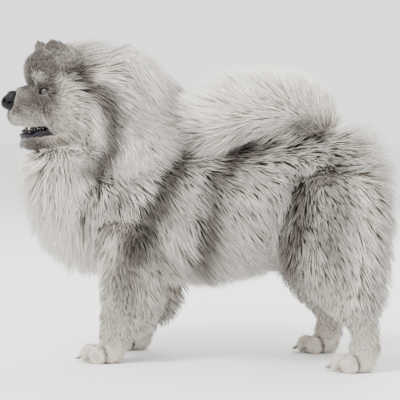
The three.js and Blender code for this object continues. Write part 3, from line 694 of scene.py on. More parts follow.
@dataclass
class Grid:
    """Values of a field on a grid, for quick reading.

    Attributes:
        low: Lowest corner.
        cell: Size of a cell.
        values: Value at each corner of the cells.
    """

    low: Array
    cell: float
    values: Array

    @classmethod
    def of(cls, value: Callable[[Array], Array], low: Array, high: Array, cell: float) -> Grid:
        """Samples a field between two corners."""
        axes = [np.arange(a, b + cell, cell) for a, b in zip(low, high)]
        places = np.stack(np.meshgrid(*axes, indexing="ij"), -1)
        return cls(np.array(low, float), cell, value(places.reshape(-1, 3)).reshape(places.shape[:3]))

    @staticmethod
    def mix(first: Array, last: Array, share: Array) -> Array:
        """Values part of the way from one to another."""
        return first * (1 - share) + last * share

    def read(self, points: Array) -> tuple[Array, Array]:
        """Value and slope at places, by blending the eight corners about each."""
        mix = self.mix
        shape = np.array(self.values.shape)
        place = np.clip((points - self.low) / self.cell, 0, shape - 1.001)
        i = place.astype(int)
        x, y, z = (place - i).T
        c = [[[self.values[i[:, 0] + a, i[:, 1] + b, i[:, 2] + d] for d in (0, 1)] for b in (0, 1)]
             for a in (0, 1)]
        cz = [[mix(c[a][b][0], c[a][b][1], z) for b in (0, 1)] for a in (0, 1)]
        cy = [mix(cz[a][0], cz[a][1], y) for a in (0, 1)]
        dz = mix(mix(c[0][0][1] - c[0][0][0], c[0][1][1] - c[0][1][0], y),
                 mix(c[1][0][1] - c[1][0][0], c[1][1][1] - c[1][1][0], y), x)
        dy = mix(cz[0][1] - cz[0][0], cz[1][1] - cz[1][0], x)
        return mix(cy[0], cy[1], x), np.stack([cy[1] - cy[0], dy, dz], 1) / self.cell

    def net(self) -> tuple[Array, Array]:
        """Surface where the value is nought, as vertices and quads that face outwards."""
        values = self.values
        inside = values < 0
        corners = [(a, b, c) for a in (0, 1) for b in (0, 1) for c in (0, 1)]
        windows = [tuple(slice(k, inside.shape[n] - 1 + k) for n, k in enumerate(o)) for o in corners]
        count = sum(inside[window].astype(int) for window in windows)
        cells = np.argwhere((count > 0) & (count < 8))
        index = np.full(count.shape, -1)
        index[tuple(cells.T)] = np.arange(len(cells))
        place, crossings = np.zeros(cells.shape), np.zeros(len(cells))
        for axis in range(3):
            for a in corners:
                if a[axis]:
                    continue
                b = tuple(v + (n == axis) for n, v in enumerate(a))
                va, vb = (values[tuple((cells + o).T)] for o in (a, b))
                cut = (va < 0) != (vb < 0)
                t = np.where(cut, va / np.where(cut, va - vb, 1), 0)
                place[cut] += np.array(a) + t[cut, None] * np.eye(3)[axis]
                crossings[cut] += 1
        vertices = self.low + self.cell * (cells + place / crossings[:, None])
        quads = []
        for axis in range(3):
            u, v = np.eye(3, dtype=int)[(axis + 1) % 3], np.eye(3, dtype=int)[(axis + 2) % 3]
            first = inside[tuple(slice(0, -1) if n == axis else slice(1, -1) for n in range(3))]
            last = inside[tuple(slice(1, None) if n == axis else slice(1, -1) for n in range(3))]
            edges = np.argwhere(first != last) + (np.eye(3, dtype=int)[axis] == 0)
            around = np.stack([index[tuple((edges - o).T)] for o in (0 * u, u, u + v, v)], 1)
            starts = inside[tuple(edges.T)]
            quads += [around[starts], around[~starts][:, ::-1]]
        return vertices, np.vstack(quads)


# -------------------------------------------------------------------------------------- shader helpers


class Sum:
    """A value or vector of a shader, which takes part in arithmetic."""

    def __init__(self, shader: Shader, socket: bpy.types.NodeSocket) -> None:
        """Keeps the socket and the shader that it belongs to."""
        self.shader, self.socket = shader, socket

    def _join(self, operation: str, a: object, b: object) -> Sum:
        """Result of a sum of two values."""
        return self.shader.add("ShaderNodeMath", {0: a, 1: b}, operation=operation)

    def __add__(self, other: object) -> Sum:
        """Sum of two values."""
        return self._join("ADD", self, other)

    def __sub__(self, other: object) -> Sum:
        """Difference of two values."""
        return self._join("SUBTRACT", self, other)

    def __mul__(self, other: object) -> Sum:
        """Product of two values."""
        return self._join("MULTIPLY", self, other)

    def __rsub__(self, other: object) -> Sum:
        """Difference from a number."""
        return self._join("SUBTRACT", other, self)

    __radd__, __rmul__ = __add__, __mul__

    def between(self, low: float, high: float, start: float = 0.0, end: float = 1.0) -> Sum:
        """The value carried from one range to another and held there."""
        return self.shader.add("ShaderNodeMapRange", {"Value": self, "From Min": low, "From Max": high,
                                                      "To Min": start, "To Max": end})


class Shader:
    """A material that is being put together."""

    def __init__(self, name: str, **constants: object) -> None:
        """Starts a material from its main shader's fixed settings."""
        self.material = bpy.data.materials.new(name)
        self.material.use_nodes = True
        self.tree = self.material.node_tree
        self.tree.nodes.clear()
        self.output = self.tree.nodes.new("ShaderNodeOutputMaterial")
        self.surface = self.tree.nodes.new("ShaderNodeBsdfPrincipled")
        self.tree.links.new(self.surface.outputs[0], self.output.inputs["Surface"])
        for key, value in constants.items():
            self.surface.inputs[key.replace("_", " ")].default_value = value

    def add(self, kind: str, inputs: dict | None = None, output: object = 0, **settings: object) -> Sum:
        """Adds a node.

        Args:
            kind: Its type.
            inputs: Values or sockets for its inputs, by name or number.
            output: The output to hand back, by name or number.
            settings: Properties of the node.

        Returns:
            The chosen output.
        """
        node = self.tree.nodes.new(kind)
        for key, value in settings.items():
            setattr(node, key, value)
        for key, value in (inputs or {}).items():
            if isinstance(value, Sum):
                self.tree.links.new(value.socket, node.inputs[key])
            else:
                node.inputs[key].default_value = value
        return Sum(self, node.outputs[output])

    def attribute(self, name: str) -> Sum:
        """A number kept on the mesh."""
        return self.add("ShaderNodeAttribute", output="Fac", attribute_name=name)

    def place(self) -> Sum:
        """Place on the object."""
        return self.add("ShaderNodeTexCoord", output="Object")

    def noise(self, scale: float, detail: float = 3.0, at: Sum | None = None) -> Sum:
        """Cloudy variation between about 0 and 1, on the object's own places unless others are given."""
        inputs = {"Vector": at or self.place(), "Scale": scale, "Detail": detail}
        return self.add("ShaderNodeTexNoise", inputs)

    def mix(self, share: object, first: object, second: object, blend: str = "MIX") -> Sum:
        """Mixture of two colours."""
        node = self.add("ShaderNodeMix", None, 2, data_type="RGBA", blend_type=blend)
        owner = node.socket.node
        for socket, value in ((owner.inputs[0], share), (owner.inputs[6], first), (owner.inputs[7], second)):
            if isinstance(value, Sum):
                self.tree.links.new(value.socket, socket)
            else:
                socket.default_value = value if socket.type == "VALUE" else (*value, 1.0)[:4]
        return node

    def bump(self, height: Sum, distance: float, strength: float = 0.5) -> Sum:
        """Normal of a relief."""
        return self.add("ShaderNodeBump", {"Height": height, "Distance": distance, "Strength": strength})

    def finish(self, **sockets: Sum) -> bpy.types.Material:
        """Joins values to the main shader and hands back the material."""
        for key, value in sockets.items():
            self.tree.links.new(value.socket, self.surface.inputs[key.replace("_", " ")])
        return self.material


Colour = tuple[float, float, float]


def shaded(colour: Colour, share: float) -> Colour:
    """A colour made darker or lighter."""
    return tuple(c * share for c in colour)


@dataclass(frozen=True)
class FurFinish:
    """Hair that is darker at its root, and greyer to black where its tone is high: the coat's markings together
    with painted shade and painted highlights.
    """

    name: str = "cream fur"
    root: Colour = (0.6, 0.53, 0.44)
    tip: Colour = (0.95, 0.91, 0.83)
    shade: Colour = (0.155, 0.135, 0.12)
    dark: Colour = (0.035, 0.03, 0.03)

    def build(self) -> bpy.types.Material:
        """Builds the material of the tufts."""
        s = Shader(self.name, Roughness=0.62, Specular_IOR_Level=0.28)
        along, tone, chance = (s.attribute(n) for n in ("along", "tone", "chance"))
        pale = s.mix(along.between(0.0, 0.75), self.root, self.tip)
        grey = s.mix(along.between(0.1, 1.0), shaded(self.shade, 0.6), shaded(self.shade, 1.35))
        # the tone carries painted shade and painted highlights as well as the coat's markings
        fur = s.mix(tone.between(0.0, 1.0), pale, grey)
        fur = s.mix(tone.between(1.0, 2.0), fur, self.dark)
        light = chance.between(0.0, 1.0, 0.8, 1.08) * s.noise(28.0).between(0.3, 0.7, 0.86, 1.06)
        grey_level = s.add("ShaderNodeCombineColor", {0: light, 1: light, 2: light})
        return s.finish(Base_Color=s.mix(1.0, fur, grey_level, "MULTIPLY"))


@dataclass(frozen=True)
class SkinFinish:
    """Undercoat on the body, short plush on the face, and bare dark leather at the lips and lids."""

    name: str = "undercoat"
    pale: Colour = (0.7, 0.63, 0.53)
    shade: Colour = (0.11, 0.096, 0.085)
    bare: Colour = (0.022, 0.02, 0.026)

    def build(self) -> bpy.types.Material:
        """Builds the material of the skin."""
        s = Shader(self.name, Specular_IOR_Level=0.15)
        tone, bare = s.attribute("tone"), s.attribute("bare")
        streaks = s.noise(900.0, 4.0)
        clouds = s.noise(60.0)
        # the tone carries painted shade and painted highlights as well as the coat's markings
        fur = s.mix(tone.between(0.0, 1.0), self.pale, self.shade)
        fur = s.mix((streaks * clouds).between(0.1, 0.45, 0.0, 0.55), fur, shaded(self.shade, 0.5))
        colour = s.mix(bare.between(0.3, 0.8), fur, self.bare)
        return s.finish(Base_Color=colour, Roughness=bare.between(0.3, 0.9, 0.85, 0.42),
                        Normal=s.bump(streaks, 0.0008, 0.6))


@dataclass(frozen=True)
class LeatherFinish:
    """Moist, pebbled leather, with painted shade in the grooves between the pebbles."""

    name: str
    colour: Colour
    gloss: float = 0.3
    pebble: float = 620.0
    relief: float = 0.0004

    def build(self) -> bpy.types.Material:
        """Builds the material."""
        s = Shader(self.name, Specular_IOR_Level=0.12, Coat_Weight=0.04, Coat_Roughness=0.25)
        cells = s.add("ShaderNodeTexVoronoi", {"Vector": s.place(), "Scale": self.pebble}, "Distance")
        clouds = s.noise(140.0)
        colour = s.mix(clouds.between(0.35, 0.65), self.colour, shaded(self.colour, 2.2))
        # painted shade in the grooves between the pebbles
        colour = s.mix(cells.between(0.2, 0.7, 0.0, 0.45), colour, shaded(self.colour, 0.4))
        return s.finish(Base_Color=colour, Roughness=clouds.between(0.3, 0.7, self.gloss, self.gloss + 0.2),
                        Normal=s.bump(1.0 - cells, self.relief, 0.7))


@dataclass(frozen=True)
class EyeFinish:
    """Dark iris with fine rays about a black pupil."""

    name: str = "dark eye"
    iris: Colour = (0.075, 0.03, 0.012)
    rim: Colour = (0.01, 0.006, 0.005)

    def build(self) -> bpy.types.Material:
        """Builds the material from the mesh's own distance and angle about the pupil."""
        s = Shader(self.name, Roughness=0.06, Coat_Weight=1.0, Coat_Roughness=0.02, IOR=1.38)
        spread, angle = s.attribute("spread"), s.attribute("angle")
        rays = s.noise(3.0, 4.0, s.add("ShaderNodeCombineXYZ", {0: angle * 9.0, 1: spread * 2.0}))
        iris = s.mix(rays.between(0.35, 0.7), self.rim, self.iris)
        colour = s.mix(spread.between(0.36, 0.4), (0.003, 0.003, 0.003), iris)
        colour = s.mix(spread.between(0.68, 0.78), colour, self.rim)
        return s.finish(Base_Color=colour)


@dataclass(frozen=True)
class HornFinish:
    """Smooth horn, bone or enamel that darkens towards one end."""

    name: str
    base: Colour
    tip: Colour
    gloss: float = 0.3

    def build(self) -> bpy.types.Material:
        """Builds the material."""
        s = Shader(self.name, Coat_Weight=0.3, Coat_Roughness=0.15)
        grain = s.noise(500.0, 4.0)
        colour = s.mix((s.noise(90.0) * 0.6 + grain * 0.4).between(0.3, 0.7), self.base, self.tip)
        return s.finish(Base_Color=colour, Roughness=grain.between(0.3, 0.7, self.gloss, self.gloss + 0.15),
                        Normal=s.bump(grain, 0.0002, 0.3))


@dataclass(frozen=True)
class PaperFinish:
    """Plain pale ground."""

    name: str = "pale ground"
    colour: Colour = (0.86, 0.86, 0.85)

    def build(self) -> bpy.types.Material:
        """Builds the material."""
        s = Shader(self.name, Roughness=0.9, Specular_IOR_Level=0.1)
        clouds = s.noise(3.0).between(0.3, 0.7)
        return s.finish(Base_Color=s.mix(clouds, self.colour, shaded(self.colour, 0.985)))


# ---------------------------------------------------------------------------------------- mesh helpers


def new_piece(name: str, vertices: Array, faces: Array, material: bpy.types.Material | None,
              smooth: bool = True) -> bpy.types.Object:
    """Object made of places in the dog's frame.

    Args:
        name: Name of the piece.
        vertices: Places in millimetres.
        faces: Corners of its faces, all with the same count.
        material: Its material.
        smooth: Whether its faces are shaded smoothly.

    Returns:
        The object, in metres in the model's frame.
    """
    mesh = bpy.data.meshes.new(name)
    size = faces.shape[1]
    mesh.vertices.add(len(vertices))
    mesh.vertices.foreach_set("co", ((vertices + SHIFT) * MM).astype(np.float32).ravel())
    mesh.loops.add(faces.size)
    mesh.loops.foreach_set("vertex_index", faces.astype(np.int32).ravel())
    mesh.polygons.add(len(faces))
    mesh.polygons.foreach_set("loop_start", np.arange(0, faces.size, size, dtype=np.int32))
    mesh.polygons.foreach_set("use_smooth", np.full(len(faces), smooth))
    mesh.update(calc_edges=True)
    mesh.validate()
    piece = bpy.data.objects.new(name, mesh)
    bpy.context.scene.collection.objects.link(piece)
    if material:
        mesh.materials.append(material)
    return piece


def keep(piece: bpy.types.Object, name: str, values: Array) -> None:
    """Stores one number for each vertex."""
    layer = piece.data.attributes.new(name, "FLOAT", "POINT")
    layer.data.foreach_set("value", values.astype(np.float32))


def triangles(quads: Array) -> Array:
    """Quads cut into triangles."""
    return np.vstack([quads[:, [0, 1, 2]], quads[:, [0, 2, 3]]])


def surface(value: Callable[[Array], Array], low: Sequence[float], high: Sequence[float],
            cell: float) -> tuple[Array, Array]:
    """Fine surface of a small field between two corners."""
    grid = Grid.of(value, np.array(low, float), np.array(high, float), cell)
    vertices, quads = grid.net()
    for _ in range(2):
        level, slope = grid.read(vertices)
        vertices = vertices - unit(slope) * np.clip(level, -cell, cell)[:, None] * 0.8
    return vertices, triangles(quads)


def dress(piece: bpy.types.Object, slot: str, *nodes: str) -> None:
    """Fixes a piece to the body and hides the nodes that it stands for."""
    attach(piece, "root")
    if nodes:
        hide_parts(*nodes)
    LOG.info("%s: %d faces", piece.name, len(piece.data.polygons))


# ------------------------------------------------------------------------------------------- markings and painted shade


@dataclass(frozen=True)
class PaintedShadingBand:
    """A stripe of painted shade on the coat, or of painted highlight where its strength is below nought, seen
    from the side.

    Attributes:
        line: Places along it as x and z.
        width: Its half-width.
        strength: How much painted shade it adds, or painted highlight where below nought.
    """

    line: tuple[tuple[float, float], ...]
    width: float
    strength: float

    def share(self, x: Array, z: Array) -> Array:
        """Strength at places."""
        best = np.full(len(x), 1e9)
        for (ax, az), (bx, bz) in zip(self.line[:-1], self.line[1:]):
            dx, dz = bx - ax, bz - az
            t = np.clip(((x - ax) * dx + (z - az) * dz) / (dx * dx + dz * dz), 0, 1)
            best = np.minimum(best, np.hypot(x - ax - t * dx, z - az - t * dz))
        return self.strength * spot(best, self.width)


# painted shade of the coat's folds behind the cheek and ruff, behind the shoulder, on the flank and thigh, on
# the foreleg and under the tail; the bands below nought are painted highlights between them
PAINTED_SHADING_BANDS = (
    PaintedShadingBand(((-237, 566), (-199, 542), (-172, 502), (-150, 454), (-154, 407), (-186, 362)), 20, 1.1),
    PaintedShadingBand(((-205, 604), (-145, 574), (-105, 525)), 18, 0.4),
    PaintedShadingBand(((10, 440), (-46, 308), (-100, 232)), 27, 0.95),
    PaintedShadingBand(((84, 401), (45, 290), (19, 180)), 29, 0.8),
    PaintedShadingBand(((60, 404), (150, 396), (200, 404)), 13, 0.4),
    PaintedShadingBand(((186, 428), (236, 432)), 14, 0.75),
    PaintedShadingBand(((204, 330), (196, 260), (177, 183)), 36, 0.6),
    PaintedShadingBand(((268, 380), (276, 300), (268, 230)), 26, 0.3),
    PaintedShadingBand(((-125, 285), (-128, 200), (-140, 130)), 26, 0.45),
    PaintedShadingBand(((-74, 326), (-140, 235), (-179, 177)), 20, -0.5),
    PaintedShadingBand(((66, 419), (30, 300), (1, 198)), 16, -0.35),
    PaintedShadingBand(((318, 340), (330, 250), (300, 150)), 22, -0.35),
)


PALE_TONE = 0.03
REGION_TONES = {Region.BODY: 0.24, Region.THIGH: 0.42, Region.LEG: 0.34}
PLUME_SHARE = 0.55  # how much of the painted shade and painted highlights the plume shows
MASK_TONE = 0.92
PAW_TONE = 0.1
EAR_TONE = 0.85
TOE_SHADE_WIDTH = 3.2  # width of the painted shade lines between the toes
MOUTH_HEIGHT = -74.0  # between the upper and the lower lip, in the head's frame


def mask_and_painted_shade_tone(points: Array, local: Array) -> Array:
    """Shade of the face: a grey mask with a pale spot over each eye, darkened about the eyes by dark lid skin
    and painted shade of the deep-set sockets, and with a painted shade line along a fold below each eye.

    Args:
        points: Places in the dog's frame.
        local: The same places in the head's frame.

    Returns:
        One shade for each place.
    """
    high = local[:, 2]
    above = high > MOUTH_HEIGHT
    tone = MASK_TONE + 0.14 * wander(points, 24, 8) + 0.22 * ramp(high, 10, 50)
    tone += 0.05 * ~above - 0.4 * ramp(-high, 34, 60) * above
    # painted shade of the deep-set eye sockets, together with the dark lid skin
    eye = nearer(lambda sign: np.linalg.norm((local - EYE * [1, sign, 1]) * [1, 0.75, 1.2], axis=1))
    brow = nearer(lambda sign: np.linalg.norm(local - np.array([-22, 34 * sign, 22]), axis=1))
    # painted shade line along a fold below each eye
    fold = nearer(lambda sign: Ball(centre=(0, 46 * sign, -36), radii=(5, 14, 30)).measure(local)[0])
    return tone + 0.95 * spot(eye, 18) - 0.85 * spot(brow, 12) + 0.5 * spot(np.maximum(fold, 0), 5)


def behind_mask(local: Array) -> Array:
    """How far places of the head lie behind the mask, on the cheeks, the crown and the jaw: 0 to 1."""
    cheek = ramp(local[:, 0] + 0.3 * np.abs(local[:, 1]), 6, 40)
    crown, throat = ramp(local[:, 0], 14, 32), ramp(local[:, 0], -22, 6)
    high, low = ramp(local[:, 2], 18, 40), ramp(-local[:, 2], 68, 78)
    return cheek * (1 - high) * (1 - low) + crown * high + throat * low


def tone_of(points: Array, region: Array) -> Array:
    """Shade of the coat: 0 is pale, 1 is grey and 2 is black. It holds the coat's markings together with painted
    shade and painted highlights.

    Args:
        points: Places on the skin in the dog's frame.
        region: Number of the region there.

    Returns:
        One shade for each place.
    """
    x, z = points[:, 0] + 10 * wander(points, 160, 5), points[:, 2] + 10 * wander(points, 150, 6)
    tone = np.full(len(points), PALE_TONE)
    for kind, shade in REGION_TONES.items():
        tone[region == kind.value] = shade
    # painted shade and painted highlights of the coat's folds
    for band in PAINTED_SHADING_BANDS:
        tone += band.share(x, z)
    tone += 0.07 * wander(points, 55, 7)
    tone[region == Region.TAIL.value] *= PLUME_SHARE
    local = to_head(points)
    back = behind_mask(local)
    in_head = np.isin(region, [Region.FACE.value, Region.EAR.value])
    tone = np.where(in_head, mask_and_painted_shade_tone(points, local) * (1 - back) + tone * back, tone)
    paw = np.flatnonzero(region == Region.PAW.value)
    knobs = np.sort([knob.measure(points[paw])[0] for knob in TOE_FORMS], axis=0)
    # painted shade in the creases between the toes
    tone[paw] = PAW_TONE + 1.1 * spot(knobs[1] - knobs[0], TOE_SHADE_WIDTH) * (1 - ramp(knobs[0], 4, 9))
    ear = region == Region.EAR.value
    tone[ear] = (EAR_TONE + 0.5 * ramp(local[:, 2], 66, 88))[ear]
    return np.clip(tone, 0, 2)


# --------------------------------------------------------------------------------------------- pieces


@dataclass
class Skin:
    """The dog's skin, which stands for its flesh.

    Attributes:
        flesh: The field that it follows.
        finish: Its finish.
        low: Lowest corner of the grid that it is read from.
        high: Highest corner of that grid.
        face_low: Lowest corner, in the head's frame, of the part whose faces are cut finer.
        face_high: Highest corner of that part.
        face_step: How much smaller that part is at the second cut.
        foot_heights: Height below which the feet's faces are cut finer, at either cut.
        nodes: The solids that it stands for.
    """

    flesh: Flesh
    finish: SkinFinish = SkinFinish()
    low: tuple[float, float, float] = (-395, -175, -12)
    high: tuple[float, float, float] = (390, 175, 640)
    face_low: tuple[float, float, float] = (-120, -100, -118)
    face_high: tuple[float, float, float] = (62, 100, 200)
    face_step: tuple[float, float, float] = (20, 0, 0)
    foot_heights: tuple[float, float] = (62, 34)
    nodes: tuple[str, ...] = ()

    def refine(self, vertices: Array, quads: Array) -> tuple[Array, Array]:
        """Cuts the faces of the head and feet finer and settles them on the field.

        Args:
            vertices: Places of the coarse net.
            quads: Its faces.

        Returns:
            Places and triangles of the finer net.
        """
        mesh = bmesh.new()
        made = [mesh.verts.new(v) for v in vertices]
        for quad in quads:
            try:
                mesh.faces.new([made[i] for i in quad])
            except ValueError:
                continue
        for level in range(2):
            mesh.verts.ensure_lookup_table()
            places = np.array([v.co[:] for v in mesh.verts])
            local = to_head(places)
            high = np.array(self.face_high) - level * np.array(self.face_step)
            fine = ((local > self.face_low) & (local < high)).all(axis=1)
            fine |= places[:, 2] < self.foot_heights[level]
            edges = [e for e in mesh.edges if fine[e.verts[0].index] and fine[e.verts[1].index]]
            bmesh.ops.subdivide_edges(mesh, edges=edges, cuts=1, use_grid_fill=True)
            mesh.verts.ensure_lookup_table()
            mesh.verts.index_update()
            places = np.array([v.co[:] for v in mesh.verts])
            settled = self.flesh.settle(places, 2)
            for vertex, place in zip(mesh.verts, settled):
                vertex.co = place
        bmesh.ops.triangulate(mesh, faces=mesh.faces[:])
        mesh.verts.index_update()
        places = np.array([v.co[:] for v in mesh.verts])
        faces = np.array([[v.index for v in f.verts] for f in mesh.faces])
        mesh.free()
        return places, faces

    def build(self) -> None:
        """Builds the skin with its unwrap, its tone with the markings, painted shade and painted highlights, and
        its bare parts.
        """
        self.grid = Grid.of(self.flesh.value, np.array(self.low), np.array(self.high), self.flesh.cell)
        vertices, faces = self.refine(*self.grid.net())
        vertices[:, 2] = np.maximum(vertices[:, 2], SKIN_FLOOR)
        self.vertices = vertices
        self.outward = self.flesh.slope(vertices, 1.5)
        self.coat, self.lie, self.region = self.flesh.describe(vertices, self.outward)
        self.tone = tone_of(vertices, self.region)
        self.bare = self.bareness(vertices)
        piece = new_piece("skin", vertices, faces, self.finish.build())
        keep(piece, "tone", self.tone)
        keep(piece, "bare", self.bare)
        bpy.context.view_layer.objects.active = piece
        piece.select_set(True)
        bpy.ops.object.mode_set(mode="EDIT")
        bpy.ops.mesh.select_all(action="SELECT")
        piece.data.uv_layers.new(name="OFBake")
        bpy.ops.uv.smart_project(angle_limit=math.radians(66), island_margin=0.001)
        bpy.ops.object.mode_set(mode="OBJECT")
        piece.select_set(False)
        uv = np.zeros(len(piece.data.loops) * 2, np.float32)
        piece.data.uv_layers["OFBake"].data.foreach_get("uv", uv)
        corners = np.zeros(len(piece.data.loops), np.int32)
        piece.data.loops.foreach_get("vertex_index", corners)
        self.faces, self.uv = corners.reshape(-1, 3), uv.reshape(-1, 3, 2)
        dress(piece, "face_coat", *self.nodes)

    def bareness(self, points: Array) -> Array:
        """How bare the skin is: 1 in the mouth, at the lips, round the nose and at the lids."""
        local = to_head(points)
        mouth = self.flesh.mouth.measure(local)[0]
        lips = self.flesh.lips.measure(local)[0] + 1.3 * wander(points, 15, 41)
        nose = self.flesh.nose.measure(local)[0]
        lids = nearer(lambda sign: almond(sign).measure(local)[0])
        ball = nearer(lambda sign: np.linalg.norm(local - EYE * [1, sign, 1], axis=1))
        front = local[:, 0] < 30
        bare = np.maximum(1 - ramp(mouth, 2.0, 5.0), 1 - ramp(lips, 3.5, 9.0)) * front
        bare = np.maximum(bare, 1 - ramp(nose, 0.0, 1.4))
        return np.maximum(bare, (1 - ramp(lids, 0.8, 3.0)) * (ball < 20))


@dataclass(frozen=True)
class Layer:
    """One piece of the coat.

    Attributes:
        name: Name of the piece.
        regions: The regions that it covers.
        count: How many tufts it has.
        rings: How many sections a tuft has before its tip.
        width: Width of a tuft.
        slot: Slot that is handed to dress; it is not used.
        seed: Start of its chance numbers.
        base: Length of the tufts where the coat has no depth.
    """

    name: str
    regions: tuple[Region, ...]
    count: int
    rings: int
    width: float
    slot: str
    seed: int
    base: float = 5.0


LAYERS = (
    Layer("fur_face", (Region.FACE,), 17500, 2, 1.25, "face_coat", 1, 3.6),
    Layer("fur_ears", (Region.EAR,), 3600, 2, 1.1, "face_coat", 2),
    Layer("fur_ruff_under", (Region.RUFF,), 8900, 3, 2.9, "ruff_coat", 3),
    Layer("fur_ruff_over", (Region.RUFF,), 8900, 4, 2.4, "ruff_coat", 4),
    Layer("fur_chest", (Region.CHEST,), 8800, 3, 2.8, "ruff_coat", 5),
    Layer("fur_body_under", (Region.BODY,), 12000, 2, 2.7, "body_coat", 6),
    Layer("fur_body_over", (Region.BODY,), 12000, 3, 2.2, "body_coat", 7),
    Layer("fur_tail", (Region.TAIL,), 9000, 3, 2.5, "ruff_coat", 8),
    Layer("fur_legs", (Region.LEG,), 9000, 2, 2.0, "body_coat", 9),
    Layer("fur_thighs", (Region.THIGH,), 10500, 3, 2.5, "body_coat", 10),
    Layer("fur_paws", (Region.PAW,), 5000, 2, 1.2, "foot_coat", 11, 2.6),
)


